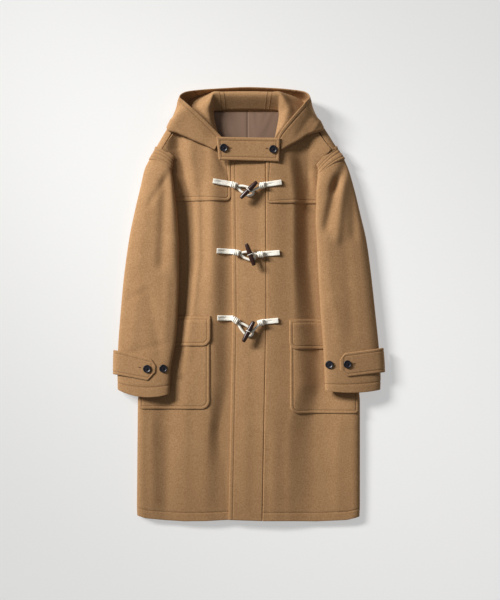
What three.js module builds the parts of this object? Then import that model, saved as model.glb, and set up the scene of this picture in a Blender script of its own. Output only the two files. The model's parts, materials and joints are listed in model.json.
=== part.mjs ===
// A wool duffle coat laid flat on its back, head side toward +Y, underside at z = 0.
// Plan positions in the tables are photo pixels (x right, y down); sizes and heights are millimetres.
import * as THREE from "three";

// Driving dimensions, mm
const mmPerPixel = 2.6; // puts the coat at 1131 mm long and 708 mm wide
const photoCentre = { x: 248.97, y: 303.86 };
const neckMiddle = 248.25; // the hood's own middle
const seamGap = 0.3;
const clothThick = 3.0; // wool melton, one layer with its turnings
const patchThick = 2.6; // yokes, pockets, flaps, placket
const liningThick = 1.2;
const foldWidth = 21; // how far a side fold takes to come round
const buttonRadius = 10.5;
const buttonThick = 3.6;
const toggleLength = 60;
const toggleRadius = 5.6;
const cordRadius = 2.6;
const tapeThick = 2.8;
const knotRadius = 8.4;

const X = (x) => (x - photoCentre.x) * mmPerPixel;
const Y = (y) => (photoCentre.y - y) * mmPerPixel;
const lerp = (a, b, t) => a + (b - a) * t;
const ease = (t) => t * t * (3 - 2 * t);
const clamp = (t) => Math.min(1, Math.max(0, t));
const rad = THREE.MathUtils.degToRad;

// The value at `at` of a list of [position, value] pairs in rising order.
function along(pairs, at, soft = false) {
  if (at <= pairs[0][0]) return pairs[0][1];
  for (let i = 1; i < pairs.length; i++) {
    const [a, va] = pairs[i - 1];
    const [b, vb] = pairs[i];
    if (at <= b) return lerp(va, vb, soft ? ease((at - a) / (b - a)) : (at - a) / (b - a));
  }
  return pairs[pairs.length - 1][1];
}

// Form of the front
// Height of the front's cloth over the surface: at each station y, the x and the height of its folds.
const drape = [
  // y, under the left sleeve, gap, left panel, dip, placket's two edges, valley, right panel, outer
  { y: 110, x: [165, 184, 198, 207, 237, 272, 299, 310, 330], z: [28, 28, 29, 29, 31, 31, 28, 28, 28] },
  { y: 150, x: [165, 184, 198, 207, 237, 272, 299, 310, 330], z: [30, 27, 32, 30, 32, 33, 22, 26, 30] },
  { y: 172, x: [174, 184, 199, 210, 237, 272, 299, 311, 322], z: [16, 16, 33, 28, 32, 35, 18, 21, 16] },
  { y: 200, x: [168, 182, 204, 222, 237, 274, 300, 313, 330], z: [13, 14, 34, 26, 32, 36, 14, 19, 13] },
  { y: 260, x: [160, 183, 203, 224, 237, 274, 301, 316, 338], z: [13, 13, 33, 26, 31, 35, 13, 18, 13] },
  { y: 340, x: [155, 176, 197, 223, 236, 274, 303, 325, 345], z: [15, 18, 31, 24, 29, 32, 14, 20, 15] },
  { y: 400, x: [150, 172, 195, 222, 235, 273, 308, 335, 352], z: [20, 20, 29, 22, 27, 30, 15, 24, 20] },
  { y: 450, x: [150, 169, 193, 221, 235, 271, 312, 335, 352], z: [22, 18, 28, 20, 25, 28, 15, 24, 21] },
  { y: 522, x: [150, 168, 195, 220, 234, 272, 313, 335, 352], z: [20, 17, 24, 19, 22, 25, 16, 23, 20] },
];
function drapeZ(x, y) {
  let i = 1;
  while (i < drape.length - 1 && drape[i].y < y) i++;
  const [a, b] = [drape[i - 1], drape[i]];
  const t = clamp((y - a.y) / (b.y - a.y));
  const pairs = a.x.map((_, k) => [lerp(a.x[k], b.x[k], t), lerp(a.z[k], b.z[k], ease(t))]);
  return along(pairs, x, true);
}

// Plan edges of the body: the silhouette, and the front's own edge at the armhole.
const silhouette = {
  left: [[111.2, 207], [118, 190], [123, 175], [128, 167], [149.5, 154.2], [152, 161.5],
    [159, 168.5], [172, 168], [200, 166], [226, 155], [300, 146], [400, 137.3], [510, 136.3], [522, 139]],
  right: [[111.2, 289], [118, 306], [123, 319], [127, 324], [149.5, 338.6], [158, 329],
    [165.6, 322.3], [177, 321.6], [200, 327], [226, 340], [300, 351], [400, 360.5], [510, 360.5], [522, 357]],
};
const turn = { left: 1, right: -1 };
// How far round its fold the front reaches, in degrees above the side seam.
const frontFrom = [[150, 82], [172, 48], [200, 48], [226, 5], [522, 5]];
// How far round the back comes: over the shoulder up to its seam, and to the side seam lower down.
const backUpTo = [[114.5, -60], [118, 78], [149.5, 78], [150, -40], [200, -40], [226, 0], [522, 0]];
const foldPixels = foldWidth / mmPerPixel;

const sideHeight = (side, y) => {
  const inside = along(silhouette[side], y) + turn[side] * foldPixels;
  return drapeZ(inside, y);
};
// A point of the fold at an angle: 90 is the top, 0 the seam and -90 the underside.
function foldPoint(side, y, angle, low = 0) {
  const high = sideHeight(side, y);
  const middle = (high + low) / 2;
  const x = along(silhouette[side], y) + turn[side] * foldPixels * (1 - Math.cos(rad(angle)));
  return [x, y, middle + (angle > 0 ? high - middle : middle - low) * Math.sin(rad(angle))];
}
// Height of the body's cloth at any plan point, and a ramp beside it that a sleeve can lie on.
function bodyTop(x, y) {
  const left = along(silhouette.left, y);
  const right = along(silhouette.right, y);
  const into = Math.min(x - left, right - x);
  const side = x - left < right - x ? "left" : "right";
  if (into >= foldPixels) return drapeZ(x, y);
  const high = sideHeight(side, y);
  if (into >= -3) return high;
  return high * clamp(1 - (-3 - into) / 14);
}

// Walls
// A closed wall between two matched sheets of points, from the triangles of the outer one.
function wall(outer, inner, triangles) {
  const faces = [];
  const edges = new Map();
  for (const [a, b, c] of triangles) {
    faces.push(a, b, c, a + outer.length, c + outer.length, b + outer.length);
    for (const [p, q] of [[a, b], [b, c], [c, a]]) {
      if (edges.has(`${q},${p}`)) edges.delete(`${q},${p}`);
      else edges.set(`${p},${q}`, [p, q]);
    }
  }
  for (const [p, q] of edges.values()) {
    faces.push(q, p, p + outer.length, q, p + outer.length, q + outer.length);
  }
  const geometry = new THREE.BufferGeometry();
  geometry.setAttribute("position", new THREE.Float32BufferAttribute([...outer, ...inner].flat(), 3));
  geometry.setIndex(faces);
  return geometry;
}
const sub = (a, b) => [a[0] - b[0], a[1] - b[1], a[2] - b[2]];
const push = (p, n, d) => [p[0] + n[0] * d, p[1] + n[1] * d, p[2] + n[2] * d];
const cross = (a, b) => [a[1] * b[2] - a[2] * b[1], a[2] * b[0] - a[0] * b[2], a[0] * b[1] - a[1] * b[0]];
function unit(v) {
  const length = Math.hypot(...v) || 1;
  return v.map((c) => c / length);
}

// A sheet is rows of points; its normals follow from its neighbours. `round` closes each row on itself.
function sheetNormals(rows, round, flip) {
  const last = rows[0].length - 1;
  return rows.map((row, j) =>
    row.map((_, i) => {
      const before = round ? (i + last) % (last + 1) : Math.max(0, i - 1);
      const after = round ? (i + 1) % (last + 1) : Math.min(last, i + 1);
      const acrossIt = sub(row[after], row[before]);
      const alongIt = sub(rows[Math.min(rows.length - 1, j + 1)][i], rows[Math.max(0, j - 1)][i]);
      const n = unit(cross(acrossIt, alongIt));
      return flip ? n.map((c) => -c) : n;
    }),
  );
}
// Walls from a stretch of a sheet: `out` and `thick` give each point's place off the sheet.
// `cut` names corners to round, as cells that keep one triangle.
function sheetWall(sheet, { from = 0, to, low = 0, high, out = () => 0, thick = clothThick, cut = [] }) {
  const { rows, normals, round, flip } = sheet;
  const count = rows[0].length;
  const lastColumn = to ?? (round ? count : count - 1);
  const lastRow = high ?? rows.length - 1;
  const index = new Map();
  const outer = [];
  const inner = [];
  const point = (i, j) => {
    const column = round ? i % count : i;
    const key = `${column},${j}`;
    if (!index.has(key)) {
      index.set(key, outer.length);
      const off = out(column, j);
      outer.push(push(rows[j][column], normals[j][column], off + (off > 0 ? thick : 0)));
      inner.push(push(rows[j][column], normals[j][column], off + (off > 0 ? 0 : -thick)));
    }
    return index.get(key);
  };
  const triangles = [];
  for (let j = low; j < lastRow; j++) {
    for (let i = from; i < lastColumn; i++) {
      const corner = cut.find((c) => c.i === i && c.j === j);
      const [a, b, c, d] = [[i, j], [i + 1, j], [i + 1, j + 1], [i, j + 1]];
      const kept = {
        rightLow: [[a, c, d]], leftLow: [[b, c, d]], rightHigh: [[a, b, d]], leftHigh: [[a, b, c]],
      }[corner?.at] ?? [[a, b, c], [a, c, d]];
      for (const three of kept) {
        const t = three.map(([p, q]) => point(p, q));
        triangles.push(flip ? [t[0], t[2], t[1]] : t);
      }
    }
  }
  return wall(outer, inner, triangles);
}

const root = new THREE.Group();
const looks = {
  wool: { color: 0xa9825c, roughness: 0.95 },
  lining: { color: 0x7d6453, roughness: 0.6 },
  cord: { color: 0xece6d8, roughness: 0.9 },
  horn: { color: 0x3a221a, roughness: 0.35 },
  button: { color: 0x1d1c22, roughness: 0.35 },
};
function add(name, geometry, look) {
  const mesh = new THREE.Mesh(geometry, new THREE.MeshStandardMaterial({ ...looks[look], metalness: 0 }));
  mesh.name = name;
  root.add(mesh);
  return mesh;
}

// Front sheet
// Column lines run up the coat; x at the top, the middle and the hem, and the steps to the next line.
const columnLines = [
  { name: "pocketInner", x: [204, 204, 204], steps: 1 },
  { name: "pocketEdge", x: [210, 210, 210], steps: 2 },
  { name: "yokeRound", x: [226, 227, 223], steps: 1 },
  { name: "placketLeft", x: [231, 232.6, 228.5], steps: 3 },
  { name: "placketRight", x: [265.8, 266.4, 262.4], steps: 1 },
  { name: "yokeRightRound", x: [272, 272, 269], steps: 2 },
  { name: "pocketRightEdge", x: [290, 290, 290], steps: 1 },
  { name: "pocketRightInner", x: [296, 296, 296], steps: 0 },
];
const sideSteps = 6;
const foldSteps = 3;
// Row lines run across it; y on the left half and on the right half.
const rowLines = [
  { name: "hem", left: 521.2, right: 521.4 }, { left: 494, right: 494 }, { left: 465, right: 466 },
  { left: 436, right: 438 }, { name: "pocketBottom", left: 409.5, right: 414 },
  { name: "pocketRound", left: 403.5, right: 408 }, { left: 384, right: 388 }, { left: 365, right: 369 },
  { name: "flapBottom", left: 346.2, right: 349.6 }, { name: "flapRound", left: 340.5, right: 344 },
  { left: 331, right: 335 }, { name: "pocketTop", left: 323, right: 326.4 },
  { name: "flapTop", left: 315.8, right: 319 }, { left: 296, right: 297 }, { left: 276, right: 277 },
  { left: 256, right: 257 }, { left: 237, right: 238 }, { left: 219, right: 220 },
  { name: "yokeBottom", left: 201, right: 203.5 }, { name: "yokeRound", left: 195, right: 197.5 },
  { left: 184, right: 185 }, { name: "shoulder", left: 172, right: 172 },
];
const shoulderSteps = 5;
const rowAt = (name) => rowLines.findIndex((r) => r.name === name);
// The front's top edge, along the shoulder seams and the neckline.
const topEdge = [
  [162.4, 149.2], [167, 140.4], [174, 129.6], [183, 123.6], [198, 119.4], [206, 122], [211, 132], [221, 146],
  [232, 152], [266, 152], [276, 146], [287, 131], [292, 122], [299, 120], [312, 124.2], [317, 128.8],
  [323.3, 138], [330.5, 148.6],
];
const columnX = (line, y) => along([[160, line.x[0]], [310, line.x[1]], [520, line.x[2]]], y);

function frontColumns(y) {
  const columns = [];
  for (let k = 0; k < foldSteps; k++) columns.push({ side: "left", fold: k / foldSteps });
  const leftIn = along(silhouette.left, y) + foldPixels;
  const rightIn = along(silhouette.right, y) - foldPixels;
  for (let k = 0; k < sideSteps; k++) columns.push({ x: lerp(leftIn, columnX(columnLines[0], y), k / sideSteps) });
  columnLines.forEach((line, n) => {
    for (let k = 0; k < line.steps; k++) {
      columns.push({ x: lerp(columnX(line, y), columnX(columnLines[n + 1], y), k / line.steps) });
    }
  });
  const lastX = columnX(columnLines[columnLines.length - 1], y);
  for (let k = 0; k <= sideSteps; k++) columns.push({ x: lerp(lastX, rightIn, k / sideSteps) });
  for (let k = foldSteps - 1; k >= 0; k--) columns.push({ side: "right", fold: k / foldSteps });
  return columns;
}
function frontPoint(column, y) {
  const c = frontColumns(y)[column];
  if (c.side) return foldPoint(c.side, y, lerp(along(frontFrom, y), 90, c.fold));
  return [c.x, y, drapeZ(c.x, y)];
}
const columnCount = frontColumns(300).length;
const lineColumn = {};
columnLines.reduce((at, line) => {
  lineColumn[line.name] = at;
  return at + line.steps;
}, foldSteps + sideSteps);

// Above the shoulder row the rows close up evenly on the top edge.
function frontRowY(column, row) {
  const half = clamp((column - lineColumn.pocketEdge) / (lineColumn.pocketRightEdge - lineColumn.pocketEdge));
  if (row < rowLines.length) return lerp(rowLines[row].left, rowLines[row].right, half);
  const share = (row - rowLines.length + 1) / shoulderSteps;
  let top = 150;
  for (let pass = 0; pass < 12; pass++) top = lerp(top, along(topEdge, frontPoint(column, top)[0]), 0.6);
  return lerp(172, top, share);
}
const frontRows = [];
for (let j = 0; j < rowLines.length + shoulderSteps; j++) {
  const row = [];
  for (let i = 0; i < columnCount; i++) {
    const [x, y, z] = frontPoint(i, frontRowY(i, j));
    row.push([X(x), Y(y), z]);
  }
  frontRows.push(row);
}
// At the side seams the edges of front and back face each other squarely.
function squareEdges(sheet) {
  const normals = sheet.normals.map((row, j) =>
    row.map((n, i) => {
      const atSeam = (i === 0 || i === row.length - 1) && sheet.rows[j][i][1] < Y(215);
      return atSeam ? unit([n[0], n[1], 0]) : n;
    }),
  );
  return { ...sheet, normals };
}
const front = squareEdges({
  rows: frontRows, normals: sheetNormals(frontRows, false, false), round: false, flip: false,
});

// The right front lies on the left one at the placket and comes down to its own side beyond it.
const layer = seamGap + patchThick;
const overlap = layer + clothThick - patchThick;
const frontLift = (i) => {
  const from = lineColumn.placketRight;
  return overlap * (1 - ease(clamp((i - from) / (lineColumn.pocketRightInner + 1 - from))));
};
const lastColumn = columnCount - 1;
const middle = lineColumn.placketRight;
const hem = 0;

function shifted(sheet, lift) {
  const rows = sheet.rows.map((row, j) => row.map((p, i) => push(p, sheet.normals[j][i], lift(i))));
  return squareEdges({ ...sheet, rows, normals: sheetNormals(rows, sheet.round, sheet.flip) });
}
const rightFront = shifted(front, frontLift);
// A narrow gap along a seam, by moving one column of the sheet toward the next one, on the same facets.
function inset(sheet, column, by) {
  const rows = sheet.rows.map((row) => {
    const next = row[column + Math.sign(by)];
    const share = Math.abs(by) / Math.hypot(...sub(next, row[column]));
    return row.map((p, i) => (i === column ? p.map((c, k) => lerp(c, next[k], share)) : p));
  });
  return { ...sheet, rows };
}
add("front_left", sheetWall(inset(front, middle, -2), { from: 0, to: middle }), "wool");
add("front_right", sheetWall(inset(rightFront, middle, seamGap), { from: middle, to: lastColumn }), "wool");
add("placket", sheetWall(front, { from: lineColumn.placketLeft, to: middle, out: () => seamGap }), "wool");

const above = (n) => () => seamGap + n * layer;
// The yokes stand off a little more where the cloth twists at the shoulder.
const yokeOut = (i, j) => {
  const fromSide = Math.min(i, lastColumn - i) - foldSteps;
  return seamGap + (j >= rowAt("shoulder") ? 2.2 * clamp(1 - fromSide / 3) : 0);
};
add("yoke_left", sheetWall(inset(front, lineColumn.placketLeft, -seamGap - 0.3), {
  from: foldSteps, to: lineColumn.placketLeft, low: rowAt("yokeBottom"), high: frontRows.length - 2, out: yokeOut,
  thick: patchThick, cut: [{ i: lineColumn.yokeRound, j: rowAt("yokeBottom"), at: "rightLow" }],
}), "wool");
add("yoke_right", sheetWall(inset(rightFront, middle, seamGap + 0.3), {
  from: middle, to: lastColumn - foldSteps, low: rowAt("yokeBottom"), high: frontRows.length - 2, out: yokeOut,
  thick: patchThick, cut: [{ i: middle, j: rowAt("yokeBottom"), at: "leftLow" }],
}), "wool");

// Pockets stand a little off the panel in the middle; flaps lie on them.
const pocketRows = { low: rowAt("pocketBottom"), high: rowAt("pocketTop") };
const flapRows = { low: rowAt("flapBottom"), high: rowAt("flapTop") };
const flapOut = (i, j) => (j >= rowAt("flapTop") ? seamGap : seamGap + layer);
add("pocket_left", sheetWall(front, {
  from: 1, to: lineColumn.pocketEdge, ...pocketRows, out: above(0), thick: patchThick,
  cut: [{ i: lineColumn.pocketInner, j: pocketRows.low, at: "rightLow" }],
}), "wool");
add("pocket_right", sheetWall(rightFront, {
  from: lineColumn.pocketRightEdge, to: lastColumn - 1, ...pocketRows, out: above(0), thick: patchThick,
  cut: [{ i: lineColumn.pocketRightEdge, j: pocketRows.low, at: "leftLow" }],
}), "wool");
add("flap_left", sheetWall(front, {
  from: 1, to: lineColumn.pocketEdge, ...flapRows, out: flapOut, thick: patchThick,
  cut: [{ i: lineColumn.pocketInner, j: flapRows.low, at: "rightLow" }],
}), "wool");
add("flap_right", sheetWall(rightFront, {
  from: lineColumn.pocketRightEdge, to: lastColumn - 1, ...flapRows, out: flapOut, thick: patchThick,
  cut: [{ i: lineColumn.pocketRightEdge, j: flapRows.low, at: "leftLow" }],
}), "wool");

// Back
// The hood's pouch lies under the back at the neck, which lifts it there.
const pouchLift = 11;
function backLow(x, y) {
  const atNeck = clamp((141 - y) / 6);
  const onPouch = clamp((194 - y) / 8) * clamp((x - 187) / 9) * clamp((303 - x) / 9);
  return pouchLift * Math.max(atNeck, onPouch);
}
const backFoldSteps = 5;
const backInside = [187, 196, 248, 294, 303];
const neckRows = [165, 158, 152, 149.5, 149, 142, 135, 128, 123, 118, 114.5, 111.2];
function backRow(j) {
  const row = [];
  const yAt = (side) => (j < rowLines.length ? rowLines[j][side] : neckRows[j - rowLines.length]);
  const fold = (side, k) => {
    const y = yAt(side);
    const angle = lerp(along(backUpTo, y), -90, k / backFoldSteps);
    return foldPoint(side, y, angle, backLow(along(silhouette[side], y), y));
  };
  for (let k = 0; k <= backFoldSteps; k++) row.push(fold("left", k));
  const [leftIn, rightIn] = [row[backFoldSteps][0], fold("right", backFoldSteps)[0]];
  for (const line of backInside) {
    const y = yAt(line < 248 ? "left" : "right");
    const x = leftIn > line - 4 || rightIn < line + 4 ? lerp(leftIn, rightIn, (line - 175) / 146) : line;
    row.push([x, y, backLow(x, y)]);
  }
  for (let k = backFoldSteps; k >= 0; k--) row.push(fold("right", k));
  return row.map(([x, y, z]) => [X(x), Y(y), z]);
}
const backRows = Array.from({ length: rowLines.length + neckRows.length }, (_, j) => backRow(j));
const back = squareEdges({ rows: backRows, normals: sheetNormals(backRows, false, true), round: false, flip: true });
const backMiddle = backFoldSteps + 3;
add("back_left", sheetWall(inset(back, backMiddle, -seamGap / 2), { from: 0, to: backMiddle }), "wool");
add("back_right", sheetWall(inset(back, backMiddle, seamGap / 2), { from: backMiddle }), "wool");
add("lining", sheetWall(back, {
  from: backMiddle - 1, to: backMiddle + 1, low: rowLines.length, out: () => -clothThick - seamGap, thick: liningThick,
}), "lining");

// Sleeves
const around = 20; // points round a sleeve, from its inner edge over the top to its outer edge
// Each ring: outer and inner edge, how far its line bows up the sleeve, and the height of both edges.
const sleeves = {
  left: {
    band: [
      { outer: [153.6, 149.9], inner: [172.9, 161.0], bow: 2.4, z: [21, 24], thick: 25 },
      { outer: [149.2, 157.6], inner: [171.6, 168.0], bow: 2.2, z: [21, 25], thick: 28 },
    ],
    rings: [
      { outer: [149.5, 158.3], inner: [171.4, 168.8], bow: 2.2, z: [16, 23], thick: 30 },
      { outer: [144.3, 169], inner: [173, 180], bow: 1, z: [15, 27], thick: 37 },
      { outer: [140, 187], inner: [175, 196], bow: 0, z: [13.5, 28], thick: 40 },
      { outer: [135, 208], inner: [177, 213], bow: 0, z: [13.5, 28], thick: 40 },
      { outer: [129, 237], inner: [178.6, 240], bow: 0, z: [13.5, 28], thick: 39 },
      { outer: [123.5, 276], inner: [178.8, 277], bow: 0, z: [13.5, 28], thick: 38 },
      { outer: [119.8, 316], inner: [177.6, 316], bow: 0, z: [13.5, 31], thick: 38 },
      { outer: [117.6, 346], inner: [175.4, 342], bow: 0, z: [13.5, 31], thick: 37 },
      { outer: [117, 368], inner: [171, 367], bow: -1, z: [13.5, 31], thick: 36 },
      { outer: [117, 382], inner: [170, 384], bow: -3, z: [13.5, 31], thick: 36 },
      { outer: [117.2, 390], inner: [169.5, 394], bow: -5, z: [13.5, 31], thick: 35 },
    ],
    strap: {
      top: [[112, 349], [151, 358.7], [158.5, 368.4]], bottom: [[112, 372], [117, 374.6], [149, 380.4], [158.5, 369.6]],
      tip: 3, tipX: 158.2,
    },
    buttons: [[147.5, 368.6], [163.5, 368.3]],
  },
  right: {
    band: [
      { outer: [339.2, 149], inner: [319.2, 167.6], bow: 1.2, z: [21, 24], thick: 24 },
      { outer: [344.6, 156.8], inner: [319.9, 175.6], bow: 2.2, z: [21, 25], thick: 28 },
    ],
    rings: [
      { outer: [344.3, 158.3], inner: [319.8, 177.1], bow: 2.2, z: [16, 23], thick: 30 },
      { outer: [349.5, 171], inner: [317.6, 188], bow: 1, z: [15, 27], thick: 37 },
      { outer: [355, 190], inner: [316.2, 202], bow: 0, z: [13.5, 28], thick: 40 },
      { outer: [361, 215], inner: [315.6, 220], bow: 0, z: [13.5, 28], thick: 40 },
      { outer: [366.8, 240], inner: [316.8, 243], bow: 0, z: [13.5, 28], thick: 39 },
      { outer: [371.3, 272], inner: [318.2, 273], bow: 0, z: [13.5, 28], thick: 38 },
      { outer: [375.5, 310], inner: [320.4, 310], bow: 0, z: [13.5, 31], thick: 38 },
      { outer: [378.5, 338], inner: [322.4, 336], bow: 0, z: [13.5, 31], thick: 37 },
      { outer: [380.4, 360], inner: [323.9, 360], bow: 0, z: [13.5, 31], thick: 36 },
      { outer: [381.2, 378], inner: [324.7, 380], bow: -1, z: [13.5, 31], thick: 36 },
      { outer: [380.8, 390], inner: [325, 390.5], bow: -2.4, z: [13.5, 31], thick: 35 },
    ],
    strap: {
      top: [[335.3, 365], [345, 353], [386, 347.6]], bottom: [[335.3, 366.2], [347.3, 376.5], [386, 372]], tip: 3, tipX: 335.6,
    },
    buttons: [[347, 364], [329.2, 364.4]],
  },
};
const sleeveFloor = (x, y) => {
  const body = bodyTop(x, y);
  const onTop = y > 308 ? 7.5 : y < 212 ? 4 : 0; // pockets and yokes
  return body > 0.5 ? body + (onTop + 1.3) * clamp(body / 12) : 0;
};
const shoulderEnd = 172; // above this the sleeve hangs off the shoulder and lies on nothing
function ringPoints({ outer, inner, bow, z, thick }) {
  const half = [(inner[0] - outer[0]) / 2, (inner[1] - outer[1]) / 2];
  const centre = [(inner[0] + outer[0]) / 2, (inner[1] + outer[1]) / 2];
  const length = Math.hypot(...half);
  const up = half[0] > 0 ? [half[1] / length, -half[0] / length] : [-half[1] / length, half[0] / length];
  return Array.from({ length: around }, (_, k) => {
    const angle = (2 * Math.PI * k) / around;
    const u = Math.cos(angle);
    const bowed = bow * (1 - u * u);
    const x = centre[0] + half[0] * u + up[0] * bowed;
    const y = centre[1] + half[1] * u + up[1] * bowed;
    const middleZ = lerp(z[0], z[1], (u + 1) / 2);
    const off = (thick / 2) * Math.abs(Math.sin(angle)) ** 0.9;
    const low = y < shoulderEnd ? 0 : sleeveFloor(x, y);
    return [X(x), Y(y), Math.max(low, angle <= Math.PI + 0.001 ? middleZ + off : middleZ - off)];
  });
}
function tube(rings) {
  const rows = rings.map(ringPoints);
  const flip = sheetNormals(rows, true, false)[1][around / 4][2] < 0;
  return { rows, normals: sheetNormals(rows, true, flip), round: true, flip };
}
// The point of a sheet's column at a given height of the plan, between its rows.
function onColumn(sheet, column, planY) {
  const { rows } = sheet;
  let j = 1;
  while (j < rows.length - 1 && rows[j][column][1] > planY) j++;
  const [a, b] = [rows[j - 1][column], rows[j][column]];
  const t = (planY - a[1]) / (b[1] - a[1]);
  return a.map((c, k) => lerp(c, b[k], t));
}
const strapFlare = [9, 5, 2.4, 0.8];
function strapSheet(sleeve, { top, bottom, tip, tipX }) {
  const rows = [0, 0.5, 1].map((share) => {
    const row = [];
    for (let k = around / 2; k >= tip; k--) {
      const planX = (column) => onColumn(sleeve, column, Y(365))[0] / mmPerPixel + photoCentre.x;
      const plan = k === tip ? tipX : planX(k);
      const y = lerp(along(bottom, plan), along(top, plan), share);
      const toTip = k === tip ? (tipX - planX(k + 1)) / (planX(k) - planX(k + 1)) : 1;
      const before = onColumn(sleeve, k + 1, Y(y));
      row.push(onColumn(sleeve, k, Y(y)).map((c, axis) => lerp(before[axis], c, toTip)));
    }
    return row;
  });
  const flip = sheetNormals(rows, false, false)[1][4][2] < 0;
  return { rows, normals: sheetNormals(rows, false, flip), round: false, flip };
}
const sleeveSheets = {};
for (const side of ["left", "right"]) {
  const { band, rings, strap } = sleeves[side];
  add(`armhole_${side}`, sheetWall(tube(band), {}), "wool");
  sleeveSheets[side] = tube(rings);
  add(`sleeve_${side}`, sheetWall(sleeveSheets[side], {}), "wool");
  const strapOut = (i) => 0.6 + (strapFlare[i] ?? 0);
  add(`strap_${side}`, sheetWall(strapSheet(sleeveSheets[side], strap), { out: strapOut, thick: patchThick }), "wool");
}

// Hood
// Each station is a section of the hood thrown back: the neck seam, the crest of its roll, the way down
// behind, the outer fold, the way back and the rim. Points are the inside face, x and y in pixels, z in mm.
const hoodStations = [
  { neck: [223, 149, 39], crest: [222, 145, 40], behind: [220, 146, 39.9], down: [217.5, 148, 39.7],
    fold: [215.5, 149.2, 41], back: [218.5, 144, 43], rim: [222, 137.6, 43.5] },
  { neck: [219.5, 138, 37.5], crest: [216, 134, 41.5], behind: [213, 137, 40], down: [209, 141.5, 38.4],
    fold: [206, 144.5, 39.4], back: [210, 137, 43], rim: [214.5, 129.8, 45] },
  { neck: [217, 129, 31], crest: [210.5, 124, 44], behind: [205, 129, 41.5], down: [199, 135, 39.5],
    fold: [194, 139.6, 39.6], back: [200, 130, 45], rim: [206.5, 121.8, 48.5] },
  { neck: [215, 121, 25], crest: [205, 114, 47], behind: [197, 119, 42], down: [188, 127, 37.4],
    fold: [180, 133, 37.4], back: [188.5, 123, 44.5], rim: [198, 113.8, 51] },
  { neck: [214, 115.5, 20], crest: [201.5, 107.5, 48], behind: [191, 113, 42], down: [179, 121.5, 35.5],
    fold: [168, 128.8, 32], back: [178.5, 117.5, 43], rim: [191, 107.8, 52] },
  { neck: [214, 112, 17], crest: [202.5, 102, 48], behind: [192, 104, 38], down: [180, 111, 24],
    fold: [170.6, 117.5, 17], back: [175.5, 110, 36], rim: [184.5, 101.8, 49] },
  { neck: [214.5, 110.4, 15.6], crest: [206.5, 96.6, 46], behind: [197, 96, 30], down: [187, 100, 14],
    fold: [176.5, 106, 8], back: [176.6, 101, 28], rim: [180.3, 97.7, 44] },
  { neck: [218, 110.2, 15], crest: [213.5, 93.8, 42], behind: [208, 92.4, 24], down: [203, 98, 6.4],
    fold: [197, 122, 4.6], back: [189, 100, 5], rim: [186, 92.8, 32] },
  { neck: [226, 110, 15], crest: [224, 93.8, 40], behind: [222.5, 91.6, 24], down: [221, 98, 6.1],
    fold: [214, 160, 4.5], back: [210, 97, 3.6], rim: [201, 90.2, 24] },
  { neck: [236, 110, 14.8], crest: [236, 93.6, 39], behind: [235.5, 91.2, 22], down: [235, 98, 6],
    fold: [231, 178, 4.4], back: [230, 96, 3.3], rim: [222.5, 88.3, 18] },
  { neck: [248.25, 110, 14.8], crest: [248.25, 93.6, 39], behind: [248.25, 91.2, 22], down: [248.25, 98, 6],
    fold: [248.25, 182, 4.4], back: [248.25, 95, 3.3], rim: [248.25, 87, 16] },
];
const foldOpen = 1.3; // half the space between the two layers at the outer fold
const profileSteps = 2;
// The stretches between the way down and the way back lie flat; the fold is between them.
const [straightFrom, foldSegment, straightTo] = [3, 4, 5];
// The right side lies narrower: half widths on the left and on the right, in pixels.
const mirrorWidth = [[0, 0], [26.5, 29.5], [34, 34], [50, 47], [69, 63.5], [81, 75]];
function hoodRow(station, right) {
  const { neck, crest, behind, down, fold, back: wayBack, rim } = station;
  const lift = wayBack[2] > down[2] ? foldOpen : -foldOpen;
  const keys = [
    neck, crest, behind, down, [fold[0], fold[1], fold[2] - lift], [fold[0], fold[1], fold[2] + lift], wayBack, rim,
  ].map(([x, y, z]) => {
    const half = neckMiddle - x;
    const placed = right ? neckMiddle + along(mirrorWidth, half) : x;
    return new THREE.Vector3(X(placed), Y(y), z);
  });
  const curve = new THREE.CatmullRomCurve3(keys, false, "centripetal");
  const points = [];
  for (let k = 0; k < keys.length - 1; k++) {
    for (let step = 0; step < profileSteps; step++) {
      const share = step / profileSteps;
      const straight = k >= straightFrom && k <= straightTo;
      const p = straight ? keys[k].clone().lerp(keys[k + 1], share) : curve.getPoint((k + share) / (keys.length - 1));
      if (k === foldSegment && step > 0) p.add(keys[k].clone().sub(keys[k - 1]).setLength(foldOpen));
      points.push(p.toArray());
    }
  }
  points.push(keys[keys.length - 1].toArray());
  return points;
}
const hoodRows = [
  ...hoodStations.map((s) => hoodRow(s, false)),
  ...hoodStations.slice(0, -1).reverse().map((s) => hoodRow(s, true)),
];
const hoodSeams = [8, hoodRows.length - 9];
// The sheet is the inside face, so the cloth goes off it on the side away from the wearer.
const hood = { rows: hoodRows, normals: sheetNormals(hoodRows, false, false), round: false, flip: false };
const towardUp = hood.normals[10][2][2] > 0;
if (towardUp) {
  hood.flip = true;
  hood.normals = sheetNormals(hoodRows, false, true);
}
function hoodPiece(low, high) {
  const rows = hoodRows.map((row, j) => {
    if (j !== low && j !== high) return row;
    if (j === 0 || j === hoodRows.length - 1) return row;
    const next = hoodRows[j === low ? j + 1 : j - 1];
    return row.map((p, i) => p.map((c, k) => lerp(c, next[i][k], 0.012)));
  });
  return sheetWall({ ...hood, rows }, { low, high, out: () => 0.001 });
}
add("hood_left", hoodPiece(0, hoodSeams[0]), "wool");
add("hood_centre", hoodPiece(...hoodSeams), "wool");
add("hood_right", hoodPiece(hoodSeams[1], hoodRows.length - 1), "wool");

// Throat strap, buttons
// What lies on the fronts rests on this height: cloth, placket or lifted right front, and yoke.
function topZ(x, y) {
  const onPlacket = x > columnX(columnLines[3], y) ? overlap : 0;
  const onYoke = y < 203 && (x < 232 || x > 265) ? layer : 0;
  return drapeZ(x, y) + onPlacket + onYoke;
}
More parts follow.
